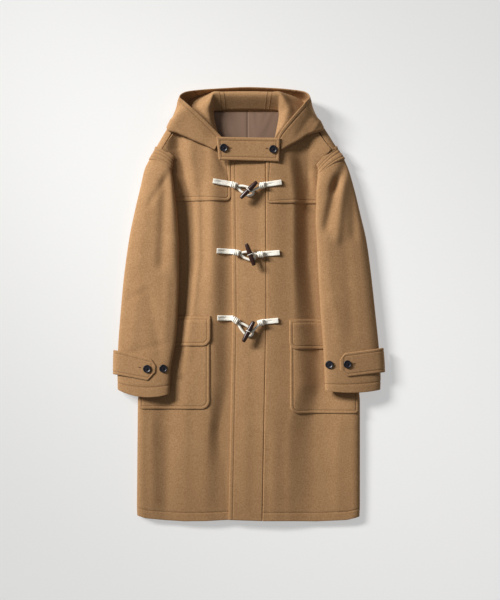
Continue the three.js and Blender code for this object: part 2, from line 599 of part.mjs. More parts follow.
// A flat piece between four plan corners (low left, low right, high right, high left) at given heights.
function flatPiece(corners, across, up, height, thick) {
  const rows = Array.from({ length: up + 1 }, (_, j) =>
    Array.from({ length: across + 1 }, (_, i) => {
      const [s, t] = [i / across, j / up];
      const x = lerp(lerp(corners[0][0], corners[1][0], s), lerp(corners[3][0], corners[2][0], s), t);
      const y = lerp(lerp(corners[0][1], corners[1][1], s), lerp(corners[3][1], corners[2][1], s), t);
      return [X(x), Y(y), height(x, y, s, t)];
    }),
  );
  const sheet = { rows, normals: sheetNormals(rows, false, false), round: false, flip: false };
  return { sheet, geometry: sheetWall(sheet, { out: () => 0.001, thick }) };
}
const throatCorners = [[218.9, 160.4], [279.3, 162.1], [280, 138.6], [216.5, 137.5]];
// It bridges the hood's two tips and sags between them.
const throatZ = (x, y, s, t) => lerp(42, 49.2, t) - 4 * (1 - (2 * s - 1) ** 2) * t;
add("throat_strap", flatPiece(throatCorners, 8, 2, throatZ, clothThick + 0.4).geometry, "wool");

function buttonGeometry() {
  const disc = new THREE.Shape().absarc(0, 0, buttonRadius, 0, 2 * Math.PI, false);
  for (const [hx, hy] of [[1, 1], [1, -1], [-1, 1], [-1, -1]]) {
    disc.holes.push(new THREE.Path().absarc(hx * 2.1, hy * 2.1, 1.1, 0, 2 * Math.PI, true));
  }
  return new THREE.ExtrudeGeometry(disc, { depth: buttonThick, bevelEnabled: false, curveSegments: 5 });
}
function addButton(name, [x, y], z, tiltX, tiltY) {
  const mesh = add(name, buttonGeometry(), "button");
  mesh.position.set(X(x), Y(y), z);
  mesh.rotation.set(tiltX, tiltY, 0);
}
const throatTilt = Math.atan((49.2 - 42) / 60);
const buttonGap = 0.5;
addButton("button_1", [223.9, 148.4], 49.4, throatTilt, 0);
addButton("button_2", [273, 149.8], 49.2, throatTilt, 0);
// Height and slope of a sleeve's top at a plan point.
function sleeveTop(side, [x, y]) {
  const columns = Array.from({ length: around / 2 + 1 }, (_, k) => onColumn(sleeveSheets[side], k, Y(y)));
  if (columns[0][0] > columns[around / 2][0]) columns.reverse();
  const k = columns.findIndex((c) => c[0] > X(x));
  const [a, b] = [columns[k - 1], columns[k]];
  const slope = (b[2] - a[2]) / (b[0] - a[0]);
  return { z: a[2] + slope * (X(x) - a[0]), slope };
}
["left", "right"].forEach((side, n) => {
  sleeves[side].buttons.forEach((at, k) => {
    const { z, slope } = sleeveTop(side, at);
    const onStrap = k === 0 ? 0.6 + patchThick : 0;
    addButton(`button_${3 + 2 * n + k}`, at, z + onStrap + buttonGap + 0.45, 0, -Math.atan(slope));
  });
});

// Toggle closures
// Plan positions of each closure's parts; heights follow from what they lie on.
const closures = [
  { tapeLeft: [[213, 181.2], [227.6, 182.4]], knotLeft: [233.8, 185.2, -20], loopEnd: [252.6, 193.4],
    toggle: [[240.7, 198.6], [256.8, 182.5]], wrap: [249.4, 190], knotRight: [262.2, 185.8, 8],
    tapeRight: [[268, 183.9], [281.4, 182.6]] },
  { tapeLeft: [[216.8, 250.8], [230.6, 250.9]], knotLeft: [236.8, 252.8, -14], loopEnd: [254.6, 257.4],
    toggle: [[246.2, 243.7], [254.3, 265.9]], wrap: [250.4, 254.8], knotRight: [260.9, 254.6, 0],
    tapeRight: [[267, 253.4], [279.5, 252.8]] },
  { tapeLeft: [[217.4, 318], [230.4, 317.4]], knotLeft: [235.8, 320.4, -35], loopEnd: [251.4, 334.6],
    toggle: [[253.5, 321.8], [243.5, 341]], wrap: [248.6, 331.4], knotRight: [260.9, 322.6, 12],
    tapeRight: [[267, 321], [278.2, 320.4]] },
];
const tapeHalf = 2.65; // pixels
const knotLength = 17;
const knotTurns = 3;
const vector = ([x, y], z) => new THREE.Vector3(X(x), Y(y), z);
function tapeGeometry([a, b], gap) {
  const length = Math.hypot(b[0] - a[0], b[1] - a[1]);
  const side = [(-(b[1] - a[1]) / length) * tapeHalf, ((b[0] - a[0]) / length) * tapeHalf];
  const corners = [
    [a[0] + side[0], a[1] + side[1]], [b[0] + side[0], b[1] + side[1]],
    [b[0] - side[0], b[1] - side[1]], [a[0] - side[0], a[1] - side[1]],
  ];
  return flatPiece(corners, 5, 1, (x, y) => topZ(x, y) + gap, tapeThick).geometry;
}
// A knot is wound cord: a barrel with a bulge for each turn, its axis along the given direction.
function knotGeometry() {
  const profile = [new THREE.Vector2(0, -knotLength / 2)];
  for (let turn = 0; turn < knotTurns; turn++) {
    const from = -knotLength / 2 + (turn * knotLength) / knotTurns;
    profile.push(new THREE.Vector2(knotRadius - 1.8, from + 0.2));
    profile.push(new THREE.Vector2(knotRadius, from + knotLength / knotTurns / 2));
  }
  profile.push(new THREE.Vector2(knotRadius - 1.8, knotLength / 2 - 0.2), new THREE.Vector2(0, knotLength / 2));
  return new THREE.LatheGeometry(profile, 10);
}
function toggleGeometry() {
  const shares = [[-1, 0], [-0.97, 0.42], [-0.6, 0.86], [0, 1], [0.6, 0.86], [0.97, 0.42], [1, 0]];
  const profile = shares.map(([l, r]) => new THREE.Vector2(r * toggleRadius, (l * toggleLength) / 2));
  return new THREE.LatheGeometry(profile, 10);
}
const cordSides = 6;
function cordGeometry(points, steps) {
  const section = new THREE.Shape();
  for (let k = 0; k < cordSides; k++) {
    const a = (2 * Math.PI * k) / cordSides;
    section[k ? "lineTo" : "moveTo"](cordRadius * Math.cos(a), cordRadius * Math.sin(a));
  }
  section.closePath();
  const path = new THREE.CatmullRomCurve3(points, false, "centripetal");
  return new THREE.ExtrudeGeometry(section, { steps, extrudePath: path, bevelEnabled: false, curveSegments: 1 });
}
function place(mesh, at, direction) {
  mesh.position.copy(at);
  mesh.quaternion.setFromUnitVectors(new THREE.Vector3(0, 1, 0), direction.clone().normalize());
}
closures.forEach((c, n) => {
  const name = (what) => `${what}_${n + 1}`;
  add(name("tape_left"), tapeGeometry(c.tapeLeft, 1.3), "cord");
  add(name("tape_right"), tapeGeometry(c.tapeRight, 0.85), "cord");
  const ground = Math.max(topZ(238, c.wrap[1]), topZ(262, c.wrap[1]));
  for (const side of ["Left", "Right"]) {
    const [x, y, turned] = c[`knot${side}`];
    const direction = new THREE.Vector3(Math.cos(rad(turned)), Math.sin(rad(turned)), 0);
    const knot = add(name(`knot_${side.toLowerCase()}`), knotGeometry(), "cord");
    place(knot, vector([x, y], topZ(x, y) + knotRadius + 0.35), direction);
  }
  // The toggle lies over the loop, held at its middle by the cord from the right knot.
  const [tail, head] = c.toggle;
  const toggleAt = ground + 2 * cordRadius + toggleRadius + 2.4;
  const along3 = vector(head, 0).sub(vector(tail, 0)).normalize();
  const centre = vector([(tail[0] + head[0]) / 2, (tail[1] + head[1]) / 2], toggleAt);
  place(add(name("toggle"), toggleGeometry(), "horn"), centre, along3);
  const wrap = new THREE.TorusGeometry(toggleRadius + cordRadius * 0.8 + 0.4, cordRadius * 0.8, 6, 12);
  const wrapMesh = add(name("wrap"), wrap, "cord");
  wrapMesh.position.copy(centre);
  wrapMesh.quaternion.setFromUnitVectors(new THREE.Vector3(0, 0, 1), along3);
  // The loop runs out of the left knot and back into it, round the toggle's cord.
  const knotAt = vector(c.knotLeft, 0);
  const out = vector(c.loopEnd, 0).sub(knotAt);
  const reach = out.length();
  out.normalize();
  const across = new THREE.Vector3(-out.y, out.x, 0);
  const at = (far, wide) => {
    const p = knotAt.clone().addScaledVector(out, far).addScaledVector(across, wide);
    const below = topZ(p.x / mmPerPixel + photoCentre.x, photoCentre.y - p.y / mmPerPixel);
    return p.setZ(below + cordRadius + 0.75);
  };
  const loop = [at(13, 3.4), at(reach * 0.5, 8), at(reach - 4, 8.4), at(reach + 1.5, 0), at(reach - 4, -8.4),
    at(reach * 0.5, -8), at(13, -3.4)];
  add(name("loop"), cordGeometry(loop, 15), "cord");
  // The toggle's own cord comes over the loop from the right knot.
  const [kx, ky] = c.knotRight;
  const knotCentre = vector([kx, ky], topZ(kx, ky) + knotRadius + 0.35);
  const side = knotCentre.clone().sub(centre).setZ(0);
  side.addScaledVector(along3, -side.dot(along3)).normalize();
  const wrapSide = centre.clone().addScaledVector(side, toggleRadius + 2 * cordRadius + 1.6);
  const way = wrapSide.clone().sub(knotCentre).normalize();
  const lead = [knotCentre.clone().addScaledVector(way, knotLength / 2 + 2.2), wrapSide];
  add(name("lead"), cordGeometry(lead, 2), "cord");
});

export default root;
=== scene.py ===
"""A camel wool duffle coat laid flat on its back, seen from straight above in soft light.

The cloth's form follows the same sections as the solids: plan positions in the tables are photo
pixels (x right, y down), heights are millimetres, and everything is turned into metres at the end.
"""

import json
import math

import bpy
import numpy as np
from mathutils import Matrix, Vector

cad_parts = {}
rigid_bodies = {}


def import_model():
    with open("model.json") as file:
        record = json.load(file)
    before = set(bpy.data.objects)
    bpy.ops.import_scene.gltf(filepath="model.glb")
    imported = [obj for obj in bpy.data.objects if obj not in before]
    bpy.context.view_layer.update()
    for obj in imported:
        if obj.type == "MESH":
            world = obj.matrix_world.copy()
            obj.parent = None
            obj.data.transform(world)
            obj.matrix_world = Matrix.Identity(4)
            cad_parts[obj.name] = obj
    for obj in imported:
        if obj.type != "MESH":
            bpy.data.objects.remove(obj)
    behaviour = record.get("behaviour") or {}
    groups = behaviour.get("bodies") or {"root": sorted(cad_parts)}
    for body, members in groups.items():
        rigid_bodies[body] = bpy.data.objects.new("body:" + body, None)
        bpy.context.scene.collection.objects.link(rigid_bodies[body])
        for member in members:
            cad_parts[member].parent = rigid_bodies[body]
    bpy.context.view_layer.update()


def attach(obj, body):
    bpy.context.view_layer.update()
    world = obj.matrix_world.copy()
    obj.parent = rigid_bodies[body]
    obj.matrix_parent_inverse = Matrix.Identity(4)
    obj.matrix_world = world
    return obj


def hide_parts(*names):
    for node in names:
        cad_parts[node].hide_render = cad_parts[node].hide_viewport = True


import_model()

# sizes, mm
MM_PER_PIXEL = 2.6
CENTRE_X, CENTRE_Y = 248.97, 303.86  # the photo pixel over the coat's own middle
NECK_MIDDLE = 248.25
SEAM_GAP = 0.3
CLOTH = 3.0
PATCH = 2.6
LINING = 1.2
FOLD_WIDTH = 21.0
BUTTON_RADIUS = 10.5
BUTTON_THICK = 3.6
TOGGLE_LENGTH = 60.0
TOGGLE_RADIUS = 6.6
CORD_RADIUS = 3.5
STITCH_DEEP = 1.1
PATCH_STITCH_DEEP = 0.7
STITCH_WIDE = 2.4
HEM_STITCH_IN = 22.0
HEM_Y = 521.3  # the hem's middle height in the photo, pixels
FINE = 4  # steps between the coarse lines of the body


def px(x):
    return (np.asarray(x, float) - CENTRE_X) * MM_PER_PIXEL


def py(y):
    return (CENTRE_Y - np.asarray(y, float)) * MM_PER_PIXEL


def ease(t):
    t = np.clip(t, 0, 1)
    return t * t * (3 - 2 * t)


def along(pairs, at):
    pairs = np.array(pairs, float)
    return np.interp(at, pairs[:, 0], pairs[:, 1])


# form of the front
# Height of the front's cloth: at each station y, the x and the height of its folds.
DRAPE = [
    # y, then under the sleeve, gap, panel's rise and top, dip, placket, ridge's top and end, valley, outer
    (110, [165, 184, 198, 212, 229, 248, 272, 284, 299, 330], [28, 28, 29, 29, 29, 30, 31, 31, 28, 28]),
    (132, [168, 178, 190, 208, 229, 248, 272, 284, 300, 330], [31, 21, 29, 31, 29, 31, 32, 31, 24, 29]),
    (150, [164, 178, 190, 210, 229, 248, 272, 285, 301, 330], [31, 18, 29, 34, 29, 32, 33, 31, 19, 30]),
    (172, [173, 182, 196, 211, 228, 244, 271, 289, 305, 322], [16, 11, 28, 34, 27, 31, 35, 32, 12, 16]),
    (200, [168, 186, 200, 213, 230, 244, 274, 292, 308, 330], [13, 8, 24, 36, 26, 31, 36, 32, 9, 13]),
    (260, [160, 187, 201, 213, 230, 246, 273, 292, 309, 338], [13, 8, 24, 35, 24, 30, 35, 32, 9, 13]),
    (340, [155, 178, 191, 212, 229, 248, 272, 294, 320, 345], [15, 13, 27, 32, 22, 27, 32, 29, 7, 14]),
    (385, [150, 168, 188, 211, 229, 250, 272, 297, 322, 352], [20, 17, 25, 30, 20, 26, 30, 28, 7, 17]),
    (430, [150, 164, 188, 207, 220, 250, 273, 286, 315, 352], [20, 16, 25, 28, 18, 24, 28, 26, 13, 20]),
    (480, [150, 164, 188, 205, 222, 250, 273, 286, 315, 352], [20, 17, 23, 25, 20, 23, 26, 24, 15, 19]),
    (522, [150, 166, 190, 205, 222, 250, 275, 286, 313, 352], [18, 16, 20, 21, 19, 21, 22, 21, 17, 18]),
]
# Soft troughs and ridges on the front: ends in pixels, half width and height in mm (minus is a trough).
CREASES = [
    # x1, y1, x2, y2, half width, height
    (204, 146, 206, 178, 14, -2.4),
    (192, 142, 190, 186, 12, 2.0),
    (217, 154, 229, 178, 8, -2.4),
    (308, 150, 309, 186, 7, -2.2),
    (243, 262, 240, 312, 16, -1.0),
    (258, 205, 259, 244, 12, -1.0),
    (246, 430, 244, 500, 18, 1.0),
    (168, 440, 166, 505, 14, -1.4),
    (152, 425, 153, 500, 14, 1.2),
    (338, 430, 338, 505, 16, 1.2),
    (334, 425, 352, 432, 10, -0.8),
    (194, 372, 190, 404, 14, 0.9),
    (225, 470, 227, 515, 9, -0.9),
    (268, 440, 267, 512, 9, -0.9),
    (186, 405, 208, 424, 9, 0.8),
]
SILHOUETTE = {
    "left": [(111.2, 207), (118, 190), (123, 175), (128, 167), (149.5, 154.2), (152, 161.5), (159, 168.5),
             (172, 168), (200, 166), (226, 155), (300, 146), (400, 137.3), (510, 136.3), (522, 136.6)],
    "right": [(111.2, 289), (118, 306), (123, 319), (127, 324), (149.5, 338.6), (158, 329), (165.6, 322.3),
              (177, 321.6), (200, 327), (226, 340), (300, 351), (400, 360.5), (510, 360.5), (522, 360)],
}
TURN = {"left": 1, "right": -1}
FRONT_FROM = [(150, 82), (172, 20), (200, 6), (226, 5), (522, 5)]
BACK_UP_TO = [(114.5, -60), (118, 87), (149.5, 87), (150, -40), (172, -12), (200, -2), (226, 0), (522, 0)]
FOLD_PIXELS = FOLD_WIDTH / MM_PER_PIXEL


def bumps(x, y, creases):
    """Soft folds along straight lines, fading at their ends."""
    total = np.zeros(np.broadcast(x, y).shape)
    for x1, y1, x2, y2, half, high in creases:
        length = math.hypot(x2 - x1, y2 - y1)
        ux, uy = (x2 - x1) / length, (y2 - y1) / length
        on = ((x - x1) * ux + (y - y1) * uy) / length
        off = np.abs((x - x1) * uy - (y - y1) * ux) * MM_PER_PIXEL
        fade = np.clip(1 - np.maximum(np.maximum(-on, on - 1), 0) * length / 14, 0, 1)
        total += high * np.exp(-((off / half) ** 2)) * ease(fade)
    return total


def drape_z(x, y, creased=True):
    x, y = np.broadcast_arrays(np.asarray(x, float), np.asarray(y, float))
    rows_y = np.array([row[0] for row in DRAPE], float)
    i = np.clip(np.searchsorted(rows_y, y) - 1, 0, len(DRAPE) - 2)
    t = np.clip((y - rows_y[i]) / (rows_y[i + 1] - rows_y[i]), 0, 1)
    fold_x = np.array([row[1] for row in DRAPE], float)
    fold_z = np.array([row[2] for row in DRAPE], float)
    at_x = fold_x[i] + (fold_x[i + 1] - fold_x[i]) * t[..., None]
    at_z = fold_z[i] + (fold_z[i + 1] - fold_z[i]) * ease(t)[..., None]
    z = at_z[..., 0].copy()
    for k in range(fold_x.shape[1] - 1):
        share = (x - at_x[..., k]) / (at_x[..., k + 1] - at_x[..., k])
        z = np.where(share > 0, at_z[..., k] + (at_z[..., k + 1] - at_z[..., k]) * ease(share), z)
    return z + (bumps(x, y, CREASES) if creased else 0)


def side_height(side, y):
    return drape_z(along(SILHOUETTE[side], y) + TURN[side] * FOLD_PIXELS, y)


def fold_point(side, y, angle, low=0.0):
    high = side_height(side, y)
    middle = (high + low) / 2
    turned = np.radians(angle)
    x = along(SILHOUETTE[side], y) + TURN[side] * FOLD_PIXELS * (1 - np.cos(turned))
    return x, middle + np.where(angle > 0, high - middle, middle - low) * np.sin(turned)


def body_top(x, y):
    left, right = along(SILHOUETTE["left"], y), along(SILHOUETTE["right"], y)
    into = np.minimum(x - left, right - x)
    high = np.where(x - left < right - x, side_height("left", y), side_height("right", y))
    ramp = np.where(into >= -3, high, high * np.clip(1 - (-3 - into) / 14, 0, 1))
    return np.where(into >= FOLD_PIXELS, drape_z(x, y), ramp)


# meshes
COLLECTION = bpy.context.scene.collection


def mesh_object(name, points_mm, faces, smooth=True):
    mesh = bpy.data.meshes.new(name)
    points = np.asarray(points_mm, float) / 1000
    mesh.from_pydata([tuple(p) for p in points], [], [tuple(int(v) for v in f) for f in faces])
    mesh.validate()
    mesh.update()
    obj = bpy.data.objects.new(name, mesh)
    COLLECTION.objects.link(obj)
    if smooth:
        mesh.polygons.foreach_set("use_smooth", [True] * len(mesh.polygons))
    return obj


def grid_normals(points, round_it=False):
    """Unit normals of a grid of points[row, column]; round_it closes each row on itself."""
    if round_it:
        across = np.roll(points, -1, axis=1) - np.roll(points, 1, axis=1)
    else:
        across = np.gradient(points, axis=1)
    down = np.gradient(points, axis=0)
    n = np.cross(across, down)
    return n / np.maximum(np.linalg.norm(n, axis=2, keepdims=True), 1e-9)


def facing_out(points, faces):
    """The faces of a closed solid, all turned over when they look inward."""
    a, b, c, d = (points[faces[:, k]] for k in range(4))
    volume = (a * (np.cross(b, c) + np.cross(c, d))).sum()
    return faces if volume > 0 else faces[:, ::-1]


def shell(name, outer, inner, round_it=False, painted_seam_shade=None):
    """A closed wall between two grids of points, with a rim round its edges; the given seam values paint shade on
    its outer face.
    """
    rows, columns = outer.shape[:2]
    count = rows * columns
    index = np.arange(count).reshape(rows, columns)
    right = np.roll(index, -1, axis=1) if round_it else index[:, 1:]
    left = index if round_it else index[:, :-1]
    top = np.stack([left[:-1], right[:-1], right[1:], left[1:]], axis=-1).reshape(-1, 4)
    faces = [top, top[:, ::-1] + count]
    ends = [(index[0], 1), (index[-1], -1)]
    for line, way in ends:
        following = np.roll(line, -1) if round_it else line[1:]
        first = line if round_it else line[:-1]
        quad = np.stack([following, first, first + count, following + count], axis=-1)
        faces.append(quad if way > 0 else quad[:, ::-1])
    if not round_it:
        for line, way in ((index[:, 0], -1), (index[:, -1], 1)):
            quad = np.stack([line[1:], line[:-1], line[:-1] + count, line[1:] + count], axis=-1)
            faces.append(quad if way > 0 else quad[:, ::-1])
    points = np.concatenate([outer.reshape(-1, 3), inner.reshape(-1, 3)])
    obj = mesh_object(name, points, facing_out(points, np.concatenate(faces)))
    values = np.zeros(2 * count)
    if painted_seam_shade is not None:
        values[:count] = np.broadcast_to(painted_seam_shade, outer.shape[:2]).reshape(-1)
    # the seam attribute: painted shade along stitching and seams, on the outer face only
    obj.data.attributes.new("seam", "FLOAT", "POINT").data.foreach_set("value", values)
    return obj


def declare(obj, nodes):
    """Cloth: put on the root body, with the solids it stands for hidden."""
    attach(obj, "root")
    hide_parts(*nodes)


# materials
def srgb(r, g, b):
    return tuple(((c / 255 + 0.055) / 1.055) ** 2.4 for c in (r, g, b)) + (1,)


def new_material(name, roughness, sheen=0.0):
    material = bpy.data.materials.new(name)
    material.use_nodes = True
    nodes, links = material.node_tree.nodes, material.node_tree.links
    shader = nodes["Principled BSDF"]
    shader.inputs["Roughness"].default_value = roughness
    shader.inputs["Sheen Weight"].default_value = sheen
    shader.inputs["Sheen Roughness"].default_value = 0.5
    shader.inputs["Specular IOR Level"].default_value = 0.2
    return material, nodes, links, shader


def shade_painted_at_seams(nodes, links, colour):
    """The cloth's colour, a socket or a value, darkened along its stitching and seams: painted shade of their
    grooves.
    """
    # the seam attribute holds how much painted shade each point gets
    seam = nodes.new("ShaderNodeAttribute")
    seam.attribute_name = "seam"
    mix = nodes.new("ShaderNodeMix")
    mix.data_type = "RGBA"
    mix.blend_type = "MULTIPLY"
    # the colour of the painted shade, multiplied into the cloth where the seam attribute is high
    mix.inputs[7].default_value = (0.34, 0.27, 0.22, 1)
    links.new(seam.outputs["Fac"], mix.inputs[0])
    if isinstance(colour, tuple):
        mix.inputs[6].default_value = colour
    else:
        links.new(colour, mix.inputs[6])
    return mix.outputs[2]


def wool_material():
    """Brushed melton: fine mottling of the fibres, and a felt surface that is nearly smooth."""
    material, nodes, links, shader = new_material("wool", 0.95, sheen=0.25)
    shader.inputs["Sheen Tint"].default_value = srgb(214, 180, 142)
    place = nodes.new("ShaderNodeTexCoord")
    mottle = nodes.new("ShaderNodeTexNoise")
    mottle.inputs["Scale"].default_value = 260
    mottle.inputs["Detail"].default_value = 5
    mottle.inputs["Roughness"].default_value = 0.75
    cloud = nodes.new("ShaderNodeTexNoise")
    cloud.inputs["Scale"].default_value = 22
    cloud.inputs["Detail"].default_value = 3
    mix = nodes.new("ShaderNodeMath")
    mix.operation = "MULTIPLY_ADD"
    mix.inputs[1].default_value = 0.12
    ramp = nodes.new("ShaderNodeValToRGB")
    ramp.color_ramp.elements[0].position = 0.36
    ramp.color_ramp.elements[0].color = srgb(*WOOL_DARK)
    ramp.color_ramp.elements[1].position = 0.96
    ramp.color_ramp.elements[1].color = srgb(*WOOL_LIGHT)
    links.new(place.outputs["Object"], mottle.inputs["Vector"])
    links.new(place.outputs["Object"], cloud.inputs["Vector"])
    links.new(cloud.outputs["Fac"], mix.inputs[0])
    links.new(mottle.outputs["Fac"], mix.inputs[2])
    links.new(mix.outputs[0], ramp.inputs["Fac"])
    # painted shade along the stitching and seams, over the mottled colour
    links.new(shade_painted_at_seams(nodes, links, ramp.outputs["Color"]), shader.inputs["Base Color"])
    fuzz = nodes.new("ShaderNodeTexNoise")
    fuzz.inputs["Scale"].default_value = 420
    fuzz.inputs["Detail"].default_value = 4
    bump = nodes.new("ShaderNodeBump")
    bump.inputs["Strength"].default_value = 0.35
    bump.inputs["Distance"].default_value = 0.0012
    links.new(place.outputs["Object"], fuzz.inputs["Vector"])
    links.new(fuzz.outputs["Fac"], bump.inputs["Height"])
    links.new(bump.outputs["Normal"], shader.inputs["Normal"])
    return material


def plain_material(name, colour, roughness, scale=0, deep=0.0, sheen=0.0, specular=0.2, with_painted_seam_shade=False):
    material, nodes, links, shader = new_material(name, roughness, sheen)
    # a seamed material gets painted shade along its stitching and seams
    if with_painted_seam_shade:
        links.new(shade_painted_at_seams(nodes, links, srgb(*colour)), shader.inputs["Base Color"])
    else:
        shader.inputs["Base Color"].default_value = srgb(*colour)
    shader.inputs["Specular IOR Level"].default_value = specular
    if scale:
        place = nodes.new("ShaderNodeTexCoord")
        noise = nodes.new("ShaderNodeTexNoise")
        noise.inputs["Scale"].default_value = scale
        bump = nodes.new("ShaderNodeBump")
        bump.inputs["Strength"].default_value = 0.6
        bump.inputs["Distance"].default_value = deep
        links.new(place.outputs["Object"], noise.inputs["Vector"])
        links.new(noise.outputs["Fac"], bump.inputs["Height"])
        links.new(bump.outputs["Normal"], shader.inputs["Normal"])
    return material


WOOL_DARK = (147, 108, 70)
WOOL_LIGHT = (195, 156, 114)
WOOL = wool_material()
# the lining gets painted shade along its seams
LINING_CLOTH = plain_material("lining", (132, 106, 88), 0.55, 500, 0.0004, sheen=0.1, with_painted_seam_shade=True)
CORD = plain_material("cord", (250, 244, 230), 0.9, 900, 0.0006, sheen=0.1)
HORN = plain_material("horn", (52, 28, 20), 0.32, 60, 0.0003, specular=0.5)
BUTTON = plain_material("button", (26, 26, 34), 0.35, specular=0.5)
THREAD = plain_material("thread", (92, 62, 40), 0.9)


def dress(obj, material):
    obj.data.materials.clear()
    obj.data.materials.append(material)


# The front as one master surface: u runs across it in the steps of the solids' columns.
COLUMN_LINES = {
    # the step it lies on, and its x at y 160, 310 and 520
    "pocket_inner": (9, (204, 204, 204)),
    "pocket_edge": (10, (210, 210, 210)),
    "yoke_round": (12, (226, 227, 223)),
    "placket_left": (13, (231, 232.6, 228.5)),
    "placket_right": (16, (265.8, 266.4, 262.4)),
    "yoke_right_round": (17, (272, 272, 269)),
    "pocket_right_edge": (19, (290, 290, 290)),
    "pocket_right_inner": (20, (296, 296, 296)),
}
FOLD_STEPS = 3
RIGHT_IN = 26
LAST = 29
SHOULDER_Y = 172
TOP_EDGE = [
    (162.4, 149.2), (167, 140.4), (174, 129.6), (183, 123.6), (198, 119.4), (206, 122), (211, 132), (221, 146),
    (232, 152), (266, 152), (276, 146), (287, 131), (292, 122), (299, 120), (312, 124.2), (317, 128.8),
    (323.3, 138), (330.5, 148.6),
]
HEM = [(136, 516.4), (145, 519), (165, 521), (184, 522), (206, 521.7), (228, 520.6), (262, 521.6), (289, 521.7),
       (316, 522.2), (347, 520.8), (360, 517.7)]
OVERLAP = SEAM_GAP + CLOTH
LAYER = SEAM_GAP + PATCH


def column_x(name, y):
    return along(list(zip((160, 310, 520), COLUMN_LINES[name][1])), y)


def front_x(u, y):
    """Plan x of the front between its two side folds."""
    knots = [(FOLD_STEPS, along(SILHOUETTE["left"], y) + FOLD_PIXELS)]
    knots += [(COLUMN_LINES[name][0], column_x(name, y)) for name in COLUMN_LINES]
    knots += [(RIGHT_IN, along(SILHOUETTE["right"], y) - FOLD_PIXELS)]
    x = knots[0][1] + 0 * u
    for (u0, x0), (u1, x1) in zip(knots, knots[1:]):
        x = np.where(u > u0, x0 + (x1 - x0) * np.clip((u - u0) / (u1 - u0), 0, 1), x)
    return x


def front_points(u, y):
    """Points of the front in mm, at steps u across it and plan y."""
    u, y = np.broadcast_arrays(np.asarray(u, float), np.asarray(y, float))
    x = front_x(u, y)
    z = drape_z(x, y)
    for side, share in (("left", u / FOLD_STEPS), ("right", (LAST - u) / FOLD_STEPS)):
        start = along(FRONT_FROM, y)
        fold_x, fold_z = fold_point(side, y, start + (90 - start) * np.clip(share, 0, 1))
        x = np.where(share < 1, fold_x, x)
        z = np.where(share < 1, fold_z, z)
    bend = np.clip((y - 400) / 120, 0, 1) ** 2 * (along(HEM, x) - HEM_Y)
    return np.stack([px(x), py(y + bend), z], axis=-1)


def front_normals(u, y, points_at):
    du = points_at(np.minimum(u + 0.12, LAST), y) - points_at(np.maximum(u - 0.12, 0), y)
    dy = points_at(u, y - 0.8) - points_at(u, y + 0.8)
    n = np.cross(du, dy)
    n /= np.maximum(np.linalg.norm(n, axis=-1, keepdims=True), 1e-9)
    at_seam = ((u < 0.05) | (u > LAST - 0.05)) & (y > 215)
    n[..., 2] = np.where(at_seam, 0, n[..., 2])
    return n / np.maximum(np.linalg.norm(n, axis=-1, keepdims=True), 1e-9)


def front_lift(u):
    """The right front lies on the left one at the placket and comes down beyond it."""
    return OVERLAP * (1 - ease((u - 16) / 5))


def left_surface(u, y):
    points = front_points(u, y)
    return points, front_normals(u, y, front_points)


def right_surface(u, y):
    points, normals = left_surface(u, y)
    return points + normals * front_lift(u)[..., None], normals


def top_edge_y(u):
    """Where the front's columns end, on the shoulder seams and the neckline."""
    y = np.full(np.shape(u), 150.0)
    for _ in range(14):
        x = (front_points(u, y)[..., 0]) / MM_PER_PIXEL + CENTRE_X
        y = y + (along(TOP_EDGE, x) - y) * 0.6
    return y


def fine_lines(length, step, near=(), edges=(True, True)):
    """Positions from 0 to length: close together at the edges and beside the lines in `near`."""
    close = [0, 0.5, 1.1, 1.9, 3.0, 4.6]
    lines = list(np.linspace(0, length, max(2, int(round(length / step)) + 1)))
    if edges[0]:
        lines += close
    if edges[1]:
        lines += [length - c for c in close]
    for at in near:
        lines += [at + c for c in (-3, -1.8, -1, -0.5, 0, 0.5, 1, 1.8, 3)]
    lines = sorted(v for v in lines if 0 <= v <= length)
    kept = [lines[0]]
    for v in lines[1:]:
        if v - kept[-1] > 0.35:
            kept.append(v)
    kept[-1] = length
    return np.array(kept)


def painted_stitch_shade(distance, at, strength=0.55, wide=0.9):
    """How much painted shade a line of stitching gets, from the distance to its edge."""
    return strength * np.exp(-(((distance - at) / wide) ** 2))


def stitch_dip(distance, at, deep=STITCH_DEEP, wide=STITCH_WIDE):
    return -deep * np.exp(-(((distance - at) / wide) ** 2) * 2)


def round_edge(distance, high, radius=2.6):
    t = np.clip(distance / radius, 0, 1)
    return high * (0.12 + 0.88 * np.sqrt(1 - (1 - t) ** 2))


def fine_columns(first, last):
    """Steps across the front, at about even plan distances."""
    u = np.linspace(first, last, 800)
    x = front_points(u, np.full(800, 330.0))
    run = np.concatenate([[0], np.cumsum(np.linalg.norm(np.diff(x, axis=0), axis=1))])
    count = int(run[-1] / (12 / FINE)) + 1
    return np.interp(np.linspace(0, run[-1], count), run, u)


def front_grid(columns):
    """Steps and plan y of a fine grid over the front, hem first."""
    up = fine_lines((HEM_Y - SHOULDER_Y) * MM_PER_PIXEL, 22 / FINE, near=(HEM_STITCH_IN,), edges=(True, False))
    body_y = HEM_Y - up / MM_PER_PIXEL
    top_y = top_edge_y(columns)
    shares = np.linspace(0, 1, 6 * FINE + 1)[1:]
    shoulder_y = SHOULDER_Y + (top_y[None, :] - SHOULDER_Y) * shares[:, None]
    y = np.concatenate([np.repeat(body_y[:, None], len(columns), axis=1), shoulder_y])
    return np.repeat(columns[None, :], len(y), axis=0), y


def front_piece(name, first, last, surface):
    u, y = front_grid(fine_columns(first, last))
    points, normals = surface(u, y)
    from_hem = (HEM_Y - y) * MM_PER_PIXEL
    thick = round_edge(from_hem, CLOTH)[..., None]
    dip = (stitch_dip(from_hem, HEM_STITCH_IN, 0.9, 2.6))[..., None]
    outer = points + normals * (dip - (CLOTH - thick) / 2)
    inner = points - normals * (CLOTH + thick) / 2
    # painted shade along the hem's stitching
    return shell(name, outer, inner, painted_seam_shade=painted_stitch_shade(from_hem, HEM_STITCH_IN, 0.35)), points


